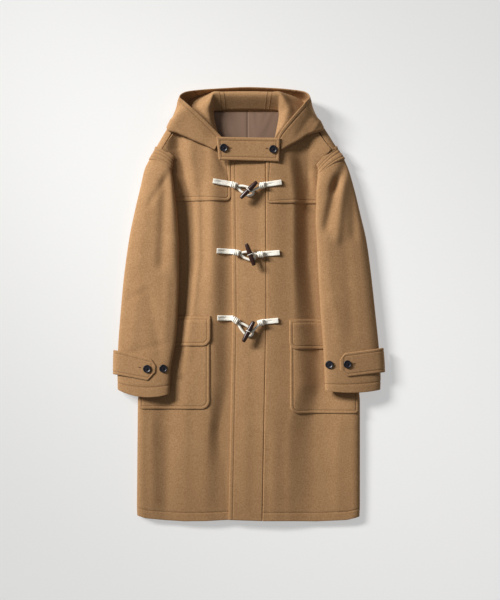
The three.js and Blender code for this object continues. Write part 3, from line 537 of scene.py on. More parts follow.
# The back: v runs over the left fold, the flat underside and the right fold.
BACK_FOLD = 5
BACK_INSIDE = [187, 196, 248, 294, 303]
BACK_LAST = 16
POUCH_LIFT = 11
NECK_ROWS = [172, 165, 158, 152, 150, 149.5, 149, 142, 135, 128, 123, 118, 114.5, 111.2]


def back_low(x, y):
    """The hood's pouch lies under the back at the neck and lifts it there."""
    at_neck = np.clip((141 - y) / 6, 0, 1)
    on_pouch = np.clip((194 - y) / 8, 0, 1) * np.clip((x - 187) / 9, 0, 1) * np.clip((303 - x) / 9, 0, 1)
    return POUCH_LIFT * np.maximum(at_neck, on_pouch)


def back_points(v, y):
    v, y = np.broadcast_arrays(np.asarray(v, float), np.asarray(y, float))
    folds = {}
    for side, share in (("left", v / BACK_FOLD), ("right", (BACK_LAST - v) / BACK_FOLD)):
        top = along(BACK_UP_TO, y)
        low = back_low(along(SILHOUETTE[side], y), y)
        folds[side] = (fold_point(side, y, top + (-90 - top) * np.clip(share, 0, 1), low), share)
    left_in = fold_point("left", y, -90 + 0 * y)[0]
    right_in = fold_point("right", y, -90 + 0 * y)[0]
    lines = [left_in]
    for line in BACK_INSIDE:
        squeezed = left_in + (right_in - left_in) * (line - 175) / 146
        lines.append(np.where((left_in > line - 4) | (right_in < line + 4), squeezed, line))
    lines.append(right_in)
    x = left_in.copy()
    for k in range(6):
        share = np.clip(v - BACK_FOLD - k, 0, 1)
        x = np.where(v > BACK_FOLD + k, lines[k] + (lines[k + 1] - lines[k]) * share, x)
    z = back_low(x, y)
    for (fold_x, fold_z), share in folds.values():
        x = np.where(share < 1, fold_x, x)
        z = np.where(share < 1, fold_z, z)
    bend = np.clip((y - 400) / 120, 0, 1) ** 2 * (along(HEM, x) - HEM_Y)
    return np.stack([px(x), py(y + bend), z], axis=-1)


def back_normals(points):
    """Normals of a back grid, pointing out of the coat."""
    return -grid_normals(points)


def back_grid(first, last, rows_y):
    steps = np.concatenate([
        np.linspace(0, BACK_FOLD, 5 * FINE + 1), np.linspace(BACK_FOLD, BACK_LAST - BACK_FOLD, 6 * 3 + 1)[1:-1],
        np.linspace(BACK_LAST - BACK_FOLD, BACK_LAST, 5 * FINE + 1),
    ])
    inside = steps[(steps > first + 0.05) & (steps < last - 0.05)]
    v = np.concatenate([[first], inside, [last]])
    return back_points(v[None, :], rows_y[:, None])


def back_rows():
    up = fine_lines((HEM_Y - SHOULDER_Y) * MM_PER_PIXEL, 30 / FINE, near=(HEM_STITCH_IN,), edges=(True, False))
    neck = []
    for a, b in zip(NECK_ROWS, NECK_ROWS[1:]):
        neck += list(np.linspace(a, b, 3)[1:])
    return np.concatenate([HEM_Y - up / MM_PER_PIXEL, neck])


# Patches: flat pieces sewn on a surface, with rounded edges and a stitch line inside them.
def patch_grid(surface, span, low, high, corners, step=5.0, dips=(10.5,)):
    """Grid of a patch over `span` steps between plan lines low(u) and high(u), its points and edge distances."""
    u0, u1 = span
    samples = np.linspace(u0, u1, 160)
    low_y, high_y = low(samples), high(samples)
    levels = np.linspace(0, 1, 9)
    tables = []
    for level in levels:
        points, _ = surface(samples, low_y + (high_y - low_y) * level)
        run = np.concatenate([[0], np.cumsum(np.linalg.norm(np.diff(points, axis=0), axis=1))])
        tables.append(run)
    wide = float(np.mean([run[-1] for run in tables]))
    tall = float(np.mean(low_y - high_y)) * MM_PER_PIXEL
    near_a = [v for d in dips for v in (d, wide - d)]
    near_b = [v for d in dips for v in (d, tall - d)]
    a = fine_lines(wide, step, near=near_a)
    b = fine_lines(tall, step, near=near_b)
    a, b = np.meshgrid(a, b)
    left, right, under, over = a, wide - a, b, tall - b
    moved_a, moved_b = a.copy(), b.copy()
    for name, radius in corners.items():
        across = left if "left" in name else right
        up = under if "low" in name else over
        p, q = (radius - across) / radius, (radius - up) / radius
        inside = (p > 0) & (q > 0)
        scale = np.maximum(p, q) / np.maximum(np.hypot(p, q), 1e-9)
        shift_a = radius * (p - p * scale) * (1 if "left" in name else -1)
        shift_b = radius * (q - q * scale) * (1 if "low" in name else -1)
        moved_a = np.where(inside, a + shift_a, moved_a)
        moved_b = np.where(inside, b + shift_b, moved_b)
    share_a, share_b = moved_a / wide, moved_b / tall
    level = np.clip(share_b, 0, 1) * (len(levels) - 1)
    lower = np.minimum(level.astype(int), len(levels) - 2)
    part = level - lower
    u = np.zeros(a.shape)
    for k, run in enumerate(tables):
        at = np.interp(share_a * run[-1], run, samples)
        weight = np.where(lower == k, 1 - part, 0) + np.where(lower == k - 1, part, 0)
        u += at * weight
    y = low(u) + (high(u) - low(u)) * share_b
    points, normals = surface(u, y)
    return {"points": points, "normals": normals, "left": left, "right": right, "low": under, "high": over}


def patch_piece(name, grid, gap, thick, stitch=("left", "right", "low"), sewn_down=(),
                at=10.5, puff=0.25):
    far = np.full(grid["left"].shape, 1e3)
    edge, seam = far, far
    for key in ("left", "right", "low", "high"):
        edge = np.minimum(edge, grid[key])
    for key in stitch:
        seam = np.minimum(seam, grid[key])
    high = round_edge(edge, thick)
    high = high + puff * np.clip(seam / 3, 0, 1) * np.exp(-(((seam - at / 2) / (at / 2.6)) ** 2))
    high = high + stitch_dip(seam, at, PATCH_STITCH_DEEP, 2.0)
    gap = gap if np.ndim(gap) else np.full(high.shape, float(gap))
    outer = grid["points"] + grid["normals"] * (gap + high)[..., None]
    inner = grid["points"] + grid["normals"] * gap[..., None]
    # painted shade along the stitching, and along the edges sewn down onto the cloth below
    painted_shade = painted_stitch_shade(seam, at, 0.42)
    for key in sewn_down:
        painted_shade = painted_shade + painted_stitch_shade(grid[key], 0, 0.6, 1.4)
    return shell(name, outer, inner, painted_seam_shade=painted_shade), outer


# Sleeves: sections from the armhole to the cuff, round from the inner edge over the top to the outer edge.
SLEEVES = {
    # outer x, y; inner x, y; how far the ring bows up the sleeve; height of the outer and inner edge; thickness
    "left": {
        "band": [
            (153.6, 149.9, 173.4, 161.0, 2.4, 19, 21, 25),
            (149.2, 157.6, 172.4, 168.0, 2.2, 19, 23, 28),
        ],
        "rings": [
            (149.5, 158.3, 171.4, 168.8, 2.2, 16, 23, 30),
            (144.3, 169, 173, 180, 1, 15, 27, 37),
            (140, 187, 175, 196, 0, 13.5, 28, 40),
            (135, 208, 177, 213, 0, 13.5, 28, 40),
            (129, 237, 178.6, 240, 0, 13.5, 28, 39),
            (123.5, 276, 178.8, 277, 0, 13.5, 28, 38),
            (119.8, 316, 177.6, 316, 0, 13.5, 31, 38),
            (117.6, 346, 175.4, 342, 0, 13.5, 31, 37),
            (117, 368, 171, 367, -1, 13.5, 31, 36),
            (117, 382, 170, 384, -3, 13.5, 31, 36),
            (117.2, 390, 169.5, 394, -5, 13.5, 31, 35),
        ],
        "creases": [
            # x1, y1, x2, y2, half width, height
            (165, 186, 162, 262, 13, -5.5),
            (173, 190, 174, 262, 9, 2.4),
            (146, 196, 138, 262, 16, 1.6),
            (166, 178, 152, 200, 8, -2.0),
            (150, 300, 160, 352, 12, -2.2),
            (138, 290, 132, 345, 14, 1.6),
            (168, 285, 166, 335, 10, 1.6),
            (128, 300, 143, 292, 9, -1.4),
            (140, 225, 172, 236, 9, -1.2),
            (133, 352, 160, 345, 8, -1.2),
        ],
        "strap": {
            "top": [(100, 347), (112, 349), (151, 358.7), (158.5, 368.4)],
            "bottom": [(100, 372), (112, 372), (117, 374.6), (149, 380.4), (158.5, 369.6)],
            "tip_x": 162,
        },
        "buttons": [(147.5, 368.6), (163.5, 368.3)],
    },
    "right": {
        "band": [
            (338.8, 149, 317.6, 168.2, 1.2, 18.5, 21, 24),
            (344.6, 156.8, 318, 176.4, 2.2, 19, 23, 28),
        ],
        "rings": [
            (344.3, 158.3, 317.6, 177.6, 2.2, 16, 23, 30),
            (349.5, 171, 316.4, 188.4, 1, 15, 27, 37),
            (355, 190, 316.2, 202, 0, 13.5, 28, 40),
            (361, 215, 315.6, 220, 0, 13.5, 28, 40),
            (366.8, 240, 316.8, 243, 0, 13.5, 28, 39),
            (371.3, 272, 318.2, 273, 0, 13.5, 28, 38),
            (375.5, 310, 320.4, 310, 0, 13.5, 31, 38),
            (378.5, 338, 322.4, 336, 0, 13.5, 31, 37),
            (380.4, 360, 323.9, 360, 0, 13.5, 31, 36),
            (381.2, 378, 324.7, 380, -1, 13.5, 31, 36),
            (380.8, 390, 325, 390.5, -2.4, 13.5, 31, 35),
        ],
        "creases": [
            (346, 164, 336, 186, 12, -7.0),
            (336, 184, 327, 224, 12, -7.0),
            (343, 186, 337, 236, 11, 4.0),
            (353, 176, 354, 232, 12, -3.4),
            (358, 205, 364, 270, 12, 1.6),
            (327, 240, 330, 300, 14, 1.8),
            (345, 245, 352, 330, 16, -1.8),
            (366, 285, 372, 345, 14, 1.4),
            (334, 300, 340, 350, 14, 1.4),
            (322, 262, 345, 280, 9, -1.2),
        ],
        "strap": {
            "top": [(335.3, 365), (345, 353), (386, 347.6), (400, 346)],
            "bottom": [(335.3, 366.2), (347.3, 376.5), (386, 372), (400, 371)],
            "tip_x": 330.6,
        },
        "buttons": [(347, 364), (329.2, 364.4)],
    },
}
AROUND = 72
SHOULDER_END = 172  # above it the sleeve hangs off the shoulder and lies on nothing


def sleeve_floor(x, y):
    body = body_top(x, y)
    on_top = np.where(y > 308, 7.5, np.where(y < 212, 4.0, 0.0))
    return np.where(body > 0.5, body + (on_top + 1.3) * np.clip(body / 12, 0, 1), 0)


def ring_points(ring, angles, creases):
    outer_x, outer_y, inner_x, inner_y, bow, z_outer, z_inner, thick = ring
    half = np.array([(inner_x - outer_x) / 2, (inner_y - outer_y) / 2])
    centre = np.array([(inner_x + outer_x) / 2, (inner_y + outer_y) / 2])
    length = np.hypot(*half)
    up = np.array([half[1], -half[0]]) / length * (1 if half[0] > 0 else -1)
    u = np.cos(angles)
    bowed = bow * (1 - u * u)
    x = centre[0] + half[0] * u + up[0] * bowed
    y = centre[1] + half[1] * u + up[1] * bowed
    middle = z_outer + (z_inner - z_outer) * (u + 1) / 2
    off = (thick / 2) * np.abs(np.sin(angles)) ** np.where(angles <= math.pi, 0.62, 0.9)
    top = angles <= math.pi + 0.001
    z = np.where(top, middle + off + bumps(x, y, creases) * np.sin(angles), middle - off)
    low = np.where(y < SHOULDER_END, 0, sleeve_floor(x, y))
    return np.stack([px(x), py(y), np.maximum(low, z)], axis=-1)


def smooth_rows(table, at):
    """Rows of a table read between its lines along a soft curve."""
    table = np.array(table, float)
    at = np.clip(np.asarray(at, float), 0, len(table) - 1)
    i = np.minimum(at.astype(int), len(table) - 2)
    t = (at - i).reshape((-1,) + (1,) * (table.ndim - 1))
    before, after = np.maximum(i - 1, 0), np.minimum(i + 2, len(table) - 1)
    p0, p1, p2, p3 = table[before], table[i], table[i + 1], table[after]
    return 0.5 * (2 * p1 + (p2 - p0) * t + (2 * p0 - 5 * p1 + 4 * p2 - p3) * t**2
                  + (3 * p1 - p0 - 3 * p2 + p3) * t**3)


def sleeve_grid(rings, creases, cuff=True):
    """Fine rings down a sleeve, and how far each is from the cuff in mm."""
    rings = np.array(rings, float)
    centres = np.stack([(rings[:, 0] + rings[:, 2]) / 2, (rings[:, 1] + rings[:, 3]) / 2], axis=1) * MM_PER_PIXEL
    run = np.concatenate([[0], np.cumsum(np.linalg.norm(np.diff(centres, axis=0), axis=1))])
    near = (HEM_STITCH_IN,) if cuff else (9.0, run[-1] - 18.0, run[-1] - 10.4)
    from_cuff = fine_lines(run[-1], 20 / FINE, near=near, edges=(True, True))[::-1]
    at = np.interp(run[-1] - from_cuff, run, np.arange(len(run)))
    angles = np.linspace(0, 2 * math.pi, AROUND, endpoint=False)
    points = np.array([ring_points(ring, angles, creases) for ring in smooth_rows(rings, at)])
    return points, from_cuff


def outward(points):
    """Normals of a closed tube's grid, away from its own middle."""
    normals = grid_normals(points, round_it=True)
    middle = points.mean(axis=1, keepdims=True)
    facing = ((points - middle) * normals).sum(axis=(1, 2))
    return normals * np.where(facing.sum() < 0, -1, 1)


def tube_piece(name, points, from_cuff, stitches):
    """A tube's wall; stitches are (distance, whether it is measured from the cuff end)."""
    normals = outward(points)
    from_start = from_cuff.max() - from_cuff
    thick = round_edge(np.minimum(from_cuff, from_start), CLOTH)
    dip, painted_shade = 0 * from_cuff, 0 * from_cuff
    for at, at_cuff in stitches:
        distance = from_cuff if at_cuff else from_start
        dip = dip + stitch_dip(distance, at, 0.8, 2.2)
        # painted shade along each line of stitching
        painted_shade = painted_shade + painted_stitch_shade(distance, at, 0.42)
    outer = points + normals * (dip - (CLOTH - thick) / 2)[:, None, None]
    inner = points - normals * ((CLOTH + thick) / 2)[:, None, None]
    outer[..., 2] = np.maximum(outer[..., 2], 0)
    obj = shell(name, outer, inner, round_it=True, painted_seam_shade=painted_shade[:, None])
    girth = float(np.linalg.norm(points - np.roll(points, 1, axis=1), axis=2).sum(axis=1).max()) / 1000
    return obj, outer, girth


def on_sleeve(points, angle, y):
    """The sleeve's surface and its normal at an angle round it, at plan y."""
    column = angle / (2 * math.pi) * AROUND
    k = int(column) % AROUND
    part = column - int(column)
    line = points[:, k] * (1 - part) + points[:, (k + 1) % AROUND] * part
    order = np.argsort(line[:, 1])
    return np.array([np.interp(py(y), line[order, 1], line[order, axis]) for axis in range(3)])


def strap_surface(points, strap, side):
    """Plan-following grid of a cuff strap, from the outer edge of the sleeve to its point."""
    flare_at = np.array([(0, 9), (1, 5), (2, 2.4), (3, 0.8), (4, 0)], float)
    turned = np.linspace(math.pi, 0.35 * math.pi, 60)
    centre_x = np.array([on_sleeve(points, a, 365)[0] / MM_PER_PIXEL + CENTRE_X for a in turned])
    tip = np.interp(strap["tip_x"], centre_x, turned) if side == "left" else np.interp(
        -strap["tip_x"], -centre_x, turned)
    wide = abs(strap["tip_x"] - centre_x[0]) * MM_PER_PIXEL + 14
    a = fine_lines(wide, 4, near=(wide - 9,))
    b = fine_lines(60, 4, near=(9, 51)) / 60
    angle = np.pi + (tip - np.pi) * a / wide
    flare = np.interp((np.pi - angle) / (np.pi / 10), flare_at[:, 0], flare_at[:, 1])
    rows = []
    for share in b:
        row = []
        for at in angle:
            x = on_sleeve(points, at, 365)[0] / MM_PER_PIXEL + CENTRE_X
            low, high = along(strap["bottom"], x), along(strap["top"], x)
            row.append(on_sleeve(points, at, low + (high - low) * share))
        rows.append(row)
    grid = np.array(rows)
    return grid, flare, a, b


# The hood: sections from the neck seam over the crest of the roll, down behind, round the outer fold and
# back to the rim. Points are the inside face, x and y in pixels and z in mm; the right half mirrors them.
HOOD_STATIONS = [
    # neck, crest, behind, down, fold, back, rim
    [(223, 149, 39), (222, 145, 40), (220, 146, 39.9), (217.5, 148, 39.7), (215.5, 149.2, 41), (218.5, 144, 43),
     (222, 137.6, 44)],
    [(219.5, 138, 37.5), (216, 134, 41.5), (213, 137, 40), (209, 141.5, 38.4), (206, 144.5, 39.4), (210, 137, 44),
     (214.5, 129.8, 48)],
    [(217, 129, 31), (210.5, 124, 44), (205, 129, 41), (199, 135, 39.5), (194, 139.6, 39.6), (199, 130, 47),
     (206.5, 121.8, 54)],
    [(215, 121, 25), (209, 114.5, 46), (199, 119, 41), (188, 127, 37), (180, 133, 37.4), (187, 123, 47),
     (198, 113.8, 58)],
    [(214, 115.5, 20), (208.5, 109, 47), (197, 110.5, 38), (181, 120, 33), (168, 128.8, 32), (177.5, 116.6, 46),
     (191, 107.8, 60)],
    [(214, 112, 17), (210.5, 102.5, 47), (201, 103, 32), (185, 108, 16), (172.8, 117.6, 14), (178.4, 109.6, 38),
     (184.5, 101.8, 57)],
    [(214.3, 110.4, 15.6), (212, 97, 45), (207, 95.5, 24), (192, 98, 9), (180.4, 106, 7), (179, 101.4, 30),
     (180.6, 97.7, 52)],
    [(217, 110.2, 15), (214.5, 93.6, 42), (212.5, 91.4, 18), (205, 96, 6.0), (197, 122, 4.6), (187, 100, 8),
     (186, 92.8, 40)],
    [(226, 110, 15), (224, 93.8, 40), (222.5, 91.6, 20), (221, 98, 6.1), (214, 160, 4.5), (210, 97, 3.6),
     (201, 90.2, 31)],
    [(236, 110, 14.8), (236, 93.6, 39), (235.5, 91.2, 20), (235, 98, 6), (231, 178, 4.4), (230, 96, 3.3),
     (222.5, 88.3, 25)],
    [(248.25, 110, 14.8), (248.25, 93.6, 39), (248.25, 91.2, 20), (248.25, 98, 6), (248.25, 182, 4.4),
     (248.25, 95, 3.3), (248.25, 87, 22)],
]
FOLD_OPEN = 1.3  # half the space between the two layers at the outer fold
# The right side lies narrower: half widths on the left and on the right, in pixels, inside and outside.
MIRROR_INNER = [(0, 0), (22, 18), (27, 25), (34.3, 30.5), (39.5, 38.5), (45, 43), (50, 46), (57, 53.5), (70, 64)]
MIRROR_OUTER = [(0, 0), (26.5, 29.5), (34, 34), (50, 47), (69, 61.5), (81, 75)]
HOOD_SEAMS = (8, 11.8)
HOOD_TOPSTITCH = (HOOD_SEAMS[0] - 0.42, HOOD_SEAMS[1] + 0.42)
RIM_STITCH_IN = 10.0
STRAIGHT = (3, 4, 5)  # the stretches of a section that lie flat, either side of the fold


def hood_keys(station, right):
    neck, crest, behind, down, fold, way_back, rim = [np.array(p, float) for p in station]
    lift = np.array([0, 0, FOLD_OPEN if way_back[2] > down[2] else -FOLD_OPEN])
    keys = np.array([neck, crest, behind, down, fold - lift, fold + lift, way_back, rim])
    half = NECK_MIDDLE - keys[:, 0]
    if right:
        keys[:3, 0] = NECK_MIDDLE + along(MIRROR_INNER, half[:3])
        keys[3:, 0] = NECK_MIDDLE + along(MIRROR_OUTER, half[3:])
    return np.stack([px(keys[:, 0]), py(keys[:, 1]), keys[:, 2]], axis=-1)


def catmull(p0, p1, p2, p3, share):
    """A centripetal curve from p1 to p2, as the solids use."""
    t01 = max(np.linalg.norm(p1 - p0) ** 0.5, 1e-4)
    t12 = max(np.linalg.norm(p2 - p1) ** 0.5, 1e-4)
    t23 = max(np.linalg.norm(p3 - p2) ** 0.5, 1e-4)
    m1 = (p1 - p0) / t01 - (p2 - p0) / (t01 + t12) + (p2 - p1) / t12
    m2 = (p2 - p1) / t12 - (p3 - p1) / (t12 + t23) + (p3 - p2) / t23
    m1, m2 = m1 * t12, m2 * t12
    s = np.asarray(share)[:, None]
    return ((2 * p1 - 2 * p2 + m1 + m2) * s**3 + (-3 * p1 + 3 * p2 - 2 * m1 - m2) * s**2 + m1 * s + p1)


def hood_section(keys, per=10):
    points = []
    share = np.arange(per) / per
    last = len(keys) - 1
    for k in range(last):
        if k in STRAIGHT:
            part = keys[k] + (keys[k + 1] - keys[k]) * share[:, None]
            if k == 4:  # round the outer fold
                out = keys[k] - keys[k - 1]
                out = out / np.linalg.norm(out) * FOLD_OPEN
                part = part + out * np.sin(math.pi * share)[:, None]
        else:
            before = keys[k - 1] if k > 0 else keys[0] * 2 - keys[1]
            after = keys[k + 2] if k + 2 <= last else keys[last] * 2 - keys[last - 1]
            part = catmull(before, keys[k], keys[k + 1], after, share)
        points.append(part)
    points.append(keys[-1:])
    return np.concatenate(points)


def hood_rows(low, high):
    """Sections between two of the solids' rows, evenly spread in the steps of the stations."""
    keys = [hood_keys(s, False) for s in HOOD_STATIONS]
    keys += [hood_keys(s, True) for s in HOOD_STATIONS[-2::-1]]
    at = np.linspace(low, high, int((high - low) * (10)) + 1)
    for line in HOOD_SEAMS + HOOD_TOPSTITCH:
        at = np.union1d(at, line + np.linspace(-0.1, 0.1, 9))
    at = at[(at >= low) & (at <= high)]
    return at, np.array([hood_section(section) for section in smooth_rows(keys, at)])


def resample_to_rim(rows):
    """Each section with close lines at the rim and its stitching, and even ones elsewhere."""
    close = np.array([0, 0.5, 1.2, 2.2, 3.6, 5.5, 7.4, 8.6, 9.3, 10, 10.7, 11.4, 12.6, 14.5, 17])
    out, from_rim = [], []
    for row in rows:
        run = np.concatenate([[0], np.cumsum(np.linalg.norm(np.diff(row, axis=0), axis=1))])
        total = run[-1]
        near = close * min(1.0, total / 45)
        rest = np.linspace(0, total - near[-1], len(row))
        at = np.concatenate([rest[:-1], total - near[::-1]])
        out.append(np.stack([np.interp(at, run, row[:, axis]) for axis in range(3)], axis=-1))
        from_rim.append(total - at)
    return np.array(out), np.array(from_rim)


HOOD_CREASES = [
    # x1, y1, x2, y2, half width, height
    (172, 121.5, 180, 131, 6, -1.6),
    (183, 118, 196, 131, 9, 1.2),
    (310, 118, 300, 132, 9, 1.4),
    (322, 118, 313, 130, 6, -1.6),
    (203, 100, 208, 107, 7, -1.2),
    (290, 100, 285, 108, 7, -1.2),
]


# the cloth pieces
def crease_rows(points, creases):
    x = points[..., 0] / MM_PER_PIXEL + CENTRE_X
    y = CENTRE_Y - points[..., 1] / MM_PER_PIXEL
    return bumps(x, y, creases)


def add_cloth(obj, nodes, material=None):
    declare(obj, nodes)
    dress(obj, material or WOOL)
    return obj


STEP = {"left": left_surface, "right": right_surface}
SEAM_STEP = 0.01  # of a column, so that two pieces never share a face

back_y = back_rows()
for side, first, last in (("left", 0, 8 - SEAM_STEP / 8), ("right", 8 + SEAM_STEP / 8, BACK_LAST)):
    points = back_grid(first, last, back_y)
    normals = back_normals(points)
    obj = shell(f"cloth_back_{side}", points[:, ::-1], (points - normals * CLOTH)[:, ::-1])
    add_cloth(obj, [f"back_{side}"])

LINING_SEAM_X = 247.4
LINING_SEAM_Y = 111.6
LINING_FOLDS = [
    # x1, y1, x2, y2, half width, height
    (229, 118, 238, 150, 14, 1.1),
    (262, 116, 256, 146, 12, 0.9),
    (271, 112, 266, 124, 7, 0.7),
    (253, 113, 254, 124, 6, 0.5),
    (LINING_SEAM_X, 108, LINING_SEAM_X, 168, 2.2, -0.9),
]
lining_y = np.linspace(166, 111.4, 80)
lining_x = np.union1d(np.linspace(205, 289, 70), LINING_SEAM_X + np.linspace(-1.2, 1.2, 9))
lx, ly = np.meshgrid(lining_x, lining_y)
folds = bumps(lx, ly, LINING_FOLDS)
lining = np.stack([px(lx), py(ly), back_low(lx, ly) + CLOTH + 1.2 + np.maximum(folds, -0.8)], axis=-1)
# painted shade along the lining's centre back seam and its neck seam
lining_seam_shade = painted_stitch_shade(lx * MM_PER_PIXEL, LINING_SEAM_X * MM_PER_PIXEL, 0.8, 0.8)
lining_seam_shade += painted_stitch_shade(ly * MM_PER_PIXEL, LINING_SEAM_Y * MM_PER_PIXEL, 0.7, 1.6)
obj = shell("cloth_lining", lining + [0, 0, LINING], lining, painted_seam_shade=lining_seam_shade)
add_cloth(obj, ["lining"],
          material=LINING_CLOTH)

for side, first, last in (("left", 0, 16 - SEAM_STEP), ("right", 16 + SEAM_STEP, LAST)):
    obj, points = front_piece(f"cloth_front_{side}", first, last, STEP[side])
    add_cloth(obj, [f"front_{side}"])


def level(value_left, value_right=None):
    """A plan line across the coat that may differ on its two halves."""
    right = value_left if value_right is None else value_right
    return lambda u: np.where(np.asarray(u) < 15, value_left, right) + 0.0 * u


def upper_edge(share):
    return lambda u: SHOULDER_Y + (top_edge_y(u) - SHOULDER_Y) * share


grid = patch_grid(left_surface, (13, 16 - SEAM_STEP), lambda u: HEM_Y + 0 * u, upper_edge(0.97), {})
obj, points = patch_piece("cloth_placket", grid, SEAM_GAP, CLOTH, stitch=("left",), at=10.8)
add_cloth(obj, ["placket"])

PATCHES = [
    # name, side, first and last step, low and high line, rounded corners, stitched edges and seamed ones, gap,
    # and how far in the stitching lies
    ("yoke_left", "left", (1.2, 13 - SEAM_STEP), level(201), upper_edge(0.94), {"low_right": 20},
     ("right", "low"), (), SEAM_GAP, 10.5),
    ("yoke_right", "right", (16 + SEAM_STEP, 27.8), level(203.5), upper_edge(0.94), {"low_left": 14},
     ("left", "low"), (), SEAM_GAP, 9.0),
    ("pocket_left", "left", (1, 10), level(409.5), level(323), {"low_right": 22, "low_left": 10},
     ("left", "right", "low"), (), SEAM_GAP, 8.5),
    ("pocket_right", "right", (19, 28), level(414), level(326.4), {"low_left": 22, "low_right": 10},
     ("left", "right", "low"), (), SEAM_GAP, 8.5),
    ("flap_left", "left", (1, 10.1), level(346.2), level(315.8), {"low_right": 22, "low_left": 10},
     ("left", "right", "low", "high"), ("high",), None, 9.0),
    ("flap_right", "right", (18.9, 28), level(349.6), level(319), {"low_left": 22, "low_right": 10},
     ("left", "right", "low", "high"), ("high",), None, 9.0),
]
for name, side, span, low, high, corners, stitch, sewn_down, gap, at in PATCHES:
    grid = patch_grid(STEP[side], span, low, high, corners, dips=(at,))
    if gap is None:  # a flap lies on its pocket and comes down to the panel above it
        gap = SEAM_GAP + LAYER * ease(grid["high"] / 16)
    obj, points = patch_piece(f"cloth_{name}", grid, gap, PATCH, stitch=stitch, sewn_down=sewn_down, at=at)
    add_cloth(obj, [name])


def tucked(ring, following, far, thinner):
    """A ring further along past an end, narrower, so that the tube goes in under its neighbour."""
    ring, following = np.array(ring, float), np.array(following, float)
    middles = [(r[[0, 1]] + r[[2, 3]]) / 2 for r in (ring, following)]
    way = middles[0] - middles[1]
    way = way / np.linalg.norm(way) * far
    moved = ring.copy()
    moved[[0, 2]] += way[0]
    moved[[1, 3]] += way[1]
    moved[7] -= thinner
    return tuple(moved)


BAND_STITCHES = ((10.4, False), (18.0, False), (9.0, True))
for side in ("left", "right"):
    spec = SLEEVES[side]
    start = tucked(spec["rings"][0], spec["rings"][1], 3.0, 7)
    points, from_cuff = sleeve_grid([start] + spec["rings"], spec["creases"])
    obj, outer, girth = tube_piece(f"cloth_sleeve_{side}", points, from_cuff, ((HEM_STITCH_IN, True),))
    add_cloth(obj, [f"sleeve_{side}"])
    upper, lower = spec["band"]
    band_rings = [tucked(upper, lower, 4.0, 4), upper, lower, tucked(lower, upper, 2.0, 5)]
    band, from_end = sleeve_grid(band_rings, [], cuff=False)
    obj, _, girth = tube_piece(f"cloth_armhole_{side}", band, from_end, BAND_STITCHES)
    add_cloth(obj, [f"armhole_{side}"])

    grid, flare, a, b = strap_surface(outer, spec["strap"], side)
    normals = grid_normals(grid)
    normals *= np.sign(normals[..., 2].sum())
    points = grid + normals * (0.6 + flare)[None, :, None]
    tall = np.linalg.norm(points[-1] - points[0], axis=1)
    to_tip = (a[-1] - a)[None, :] * 0.7
    distance = np.minimum(np.minimum(b[:, None], 1 - b[:, None]) * tall[None, :], to_tip)
    high = round_edge(distance, PATCH) + stitch_dip(distance, 8.0, PATCH_STITCH_DEEP, 2.0)
    # painted shade along the strap's stitching
    painted_shade = painted_stitch_shade(distance, 8.0, 0.42)
    top = points + normals * high[..., None]
    if side == "left":
        top, points, painted_shade = top[:, ::-1], points[:, ::-1], painted_shade[:, ::-1]
    obj = shell(f"cloth_strap_{side}", top, points, painted_seam_shade=painted_shade)
    add_cloth(obj, [f"strap_{side}"])

HOOD_LAST = 2 * (len(HOOD_STATIONS) - 1)
for name, low, high, cut in (
    ("hood_left", 0, HOOD_SEAMS[0] - 0.01, (0.27, 0.30)),
    ("hood_centre", HOOD_SEAMS[0] + 0.01, HOOD_SEAMS[1] - 0.01, (0.20, 0.62)),
    ("hood_right", HOOD_SEAMS[1] + 0.01, HOOD_LAST, (0.27, 0.30)),
):
    at, rows = hood_rows(low, high)
    rows, from_rim = resample_to_rim(rows)
    normals = grid_normals(rows)
    if name == "hood_left":
        toward = np.sign(normals[20:60, -12:, 2].sum())
    normals *= toward
    thick = round_edge(from_rim, CLOTH)
    dip = stitch_dip(from_rim, RIM_STITCH_IN, 0.9, 2.2) - crease_rows(rows, HOOD_CREASES)
    # across: painted shade along the hood's seams and topstitching, which also sets their grooves; then painted
    # shade along the rim's stitching, put on both faces
    across = sum(painted_stitch_shade(at[:, None], seam, 0.6, 0.04) for seam in HOOD_SEAMS + HOOD_TOPSTITCH)
    painted_hood_shade = painted_stitch_shade(from_rim, RIM_STITCH_IN, 0.6) + across
    inside = rows + normals * ((CLOTH - thick) / 2 - stitch_dip(from_rim, RIM_STITCH_IN, 0.6))[..., None]
    inside -= normals * 0.7 * across[..., None]
    outside = rows + normals * ((CLOTH + thick) / 2 + dip)[..., None]
    obj = shell(f"cloth_{name}", outside, inside, painted_seam_shade=painted_hood_shade)
    obj.data.attributes["seam"].data.foreach_set("value", np.tile(painted_hood_shade.reshape(-1), 2))
    add_cloth(obj, [name])


# throat strap, buttons and toggle closures
def top_z(x, y):
    """Height of what lies on the fronts: cloth, placket or lifted right front, and yoke."""
    on_placket = np.where(x > column_x("placket_left", y), OVERLAP, 0)
    on_yoke = np.where((y < 203) & ((x < 232) | (x > 265)), LAYER, 0)
    return drape_z(x, y) + on_placket + on_yoke


def flat_grid(corners, wide, tall, height, near):
    """A grid between four plan corners (low left, low right, high right, high left)."""
    across = fine_lines(wide, 4, near=(near, wide - near))
    a, b = np.meshgrid(across, fine_lines(tall, 4, near=(near, tall - near)))
    s, t = a / wide, b / tall
    corners = np.array(corners, float)
    plan = ((corners[0] * (1 - s[..., None]) + corners[1] * s[..., None]) * (1 - t[..., None])
            + (corners[3] * (1 - s[..., None]) + corners[2] * s[..., None]) * t[..., None])
    z = height(plan[..., 0], plan[..., 1], s, t)
    points = np.stack([px(plan[..., 0]), py(plan[..., 1]), z], axis=-1)
    normals = grid_normals(points)
    return {"points": points, "normals": normals, "left": a, "right": wide - a, "low": b, "high": tall - b}


THROAT_CORNERS = [(218.9, 160.4), (279.3, 162.1), (280, 138.6), (216.5, 137.5)]


def throat_z(x, y, s, t):
    """It bridges the hood's two tips, and sags between them."""
    return 42 + 7.2 * t - 4 * (1 - (2 * s - 1) ** 2) * t


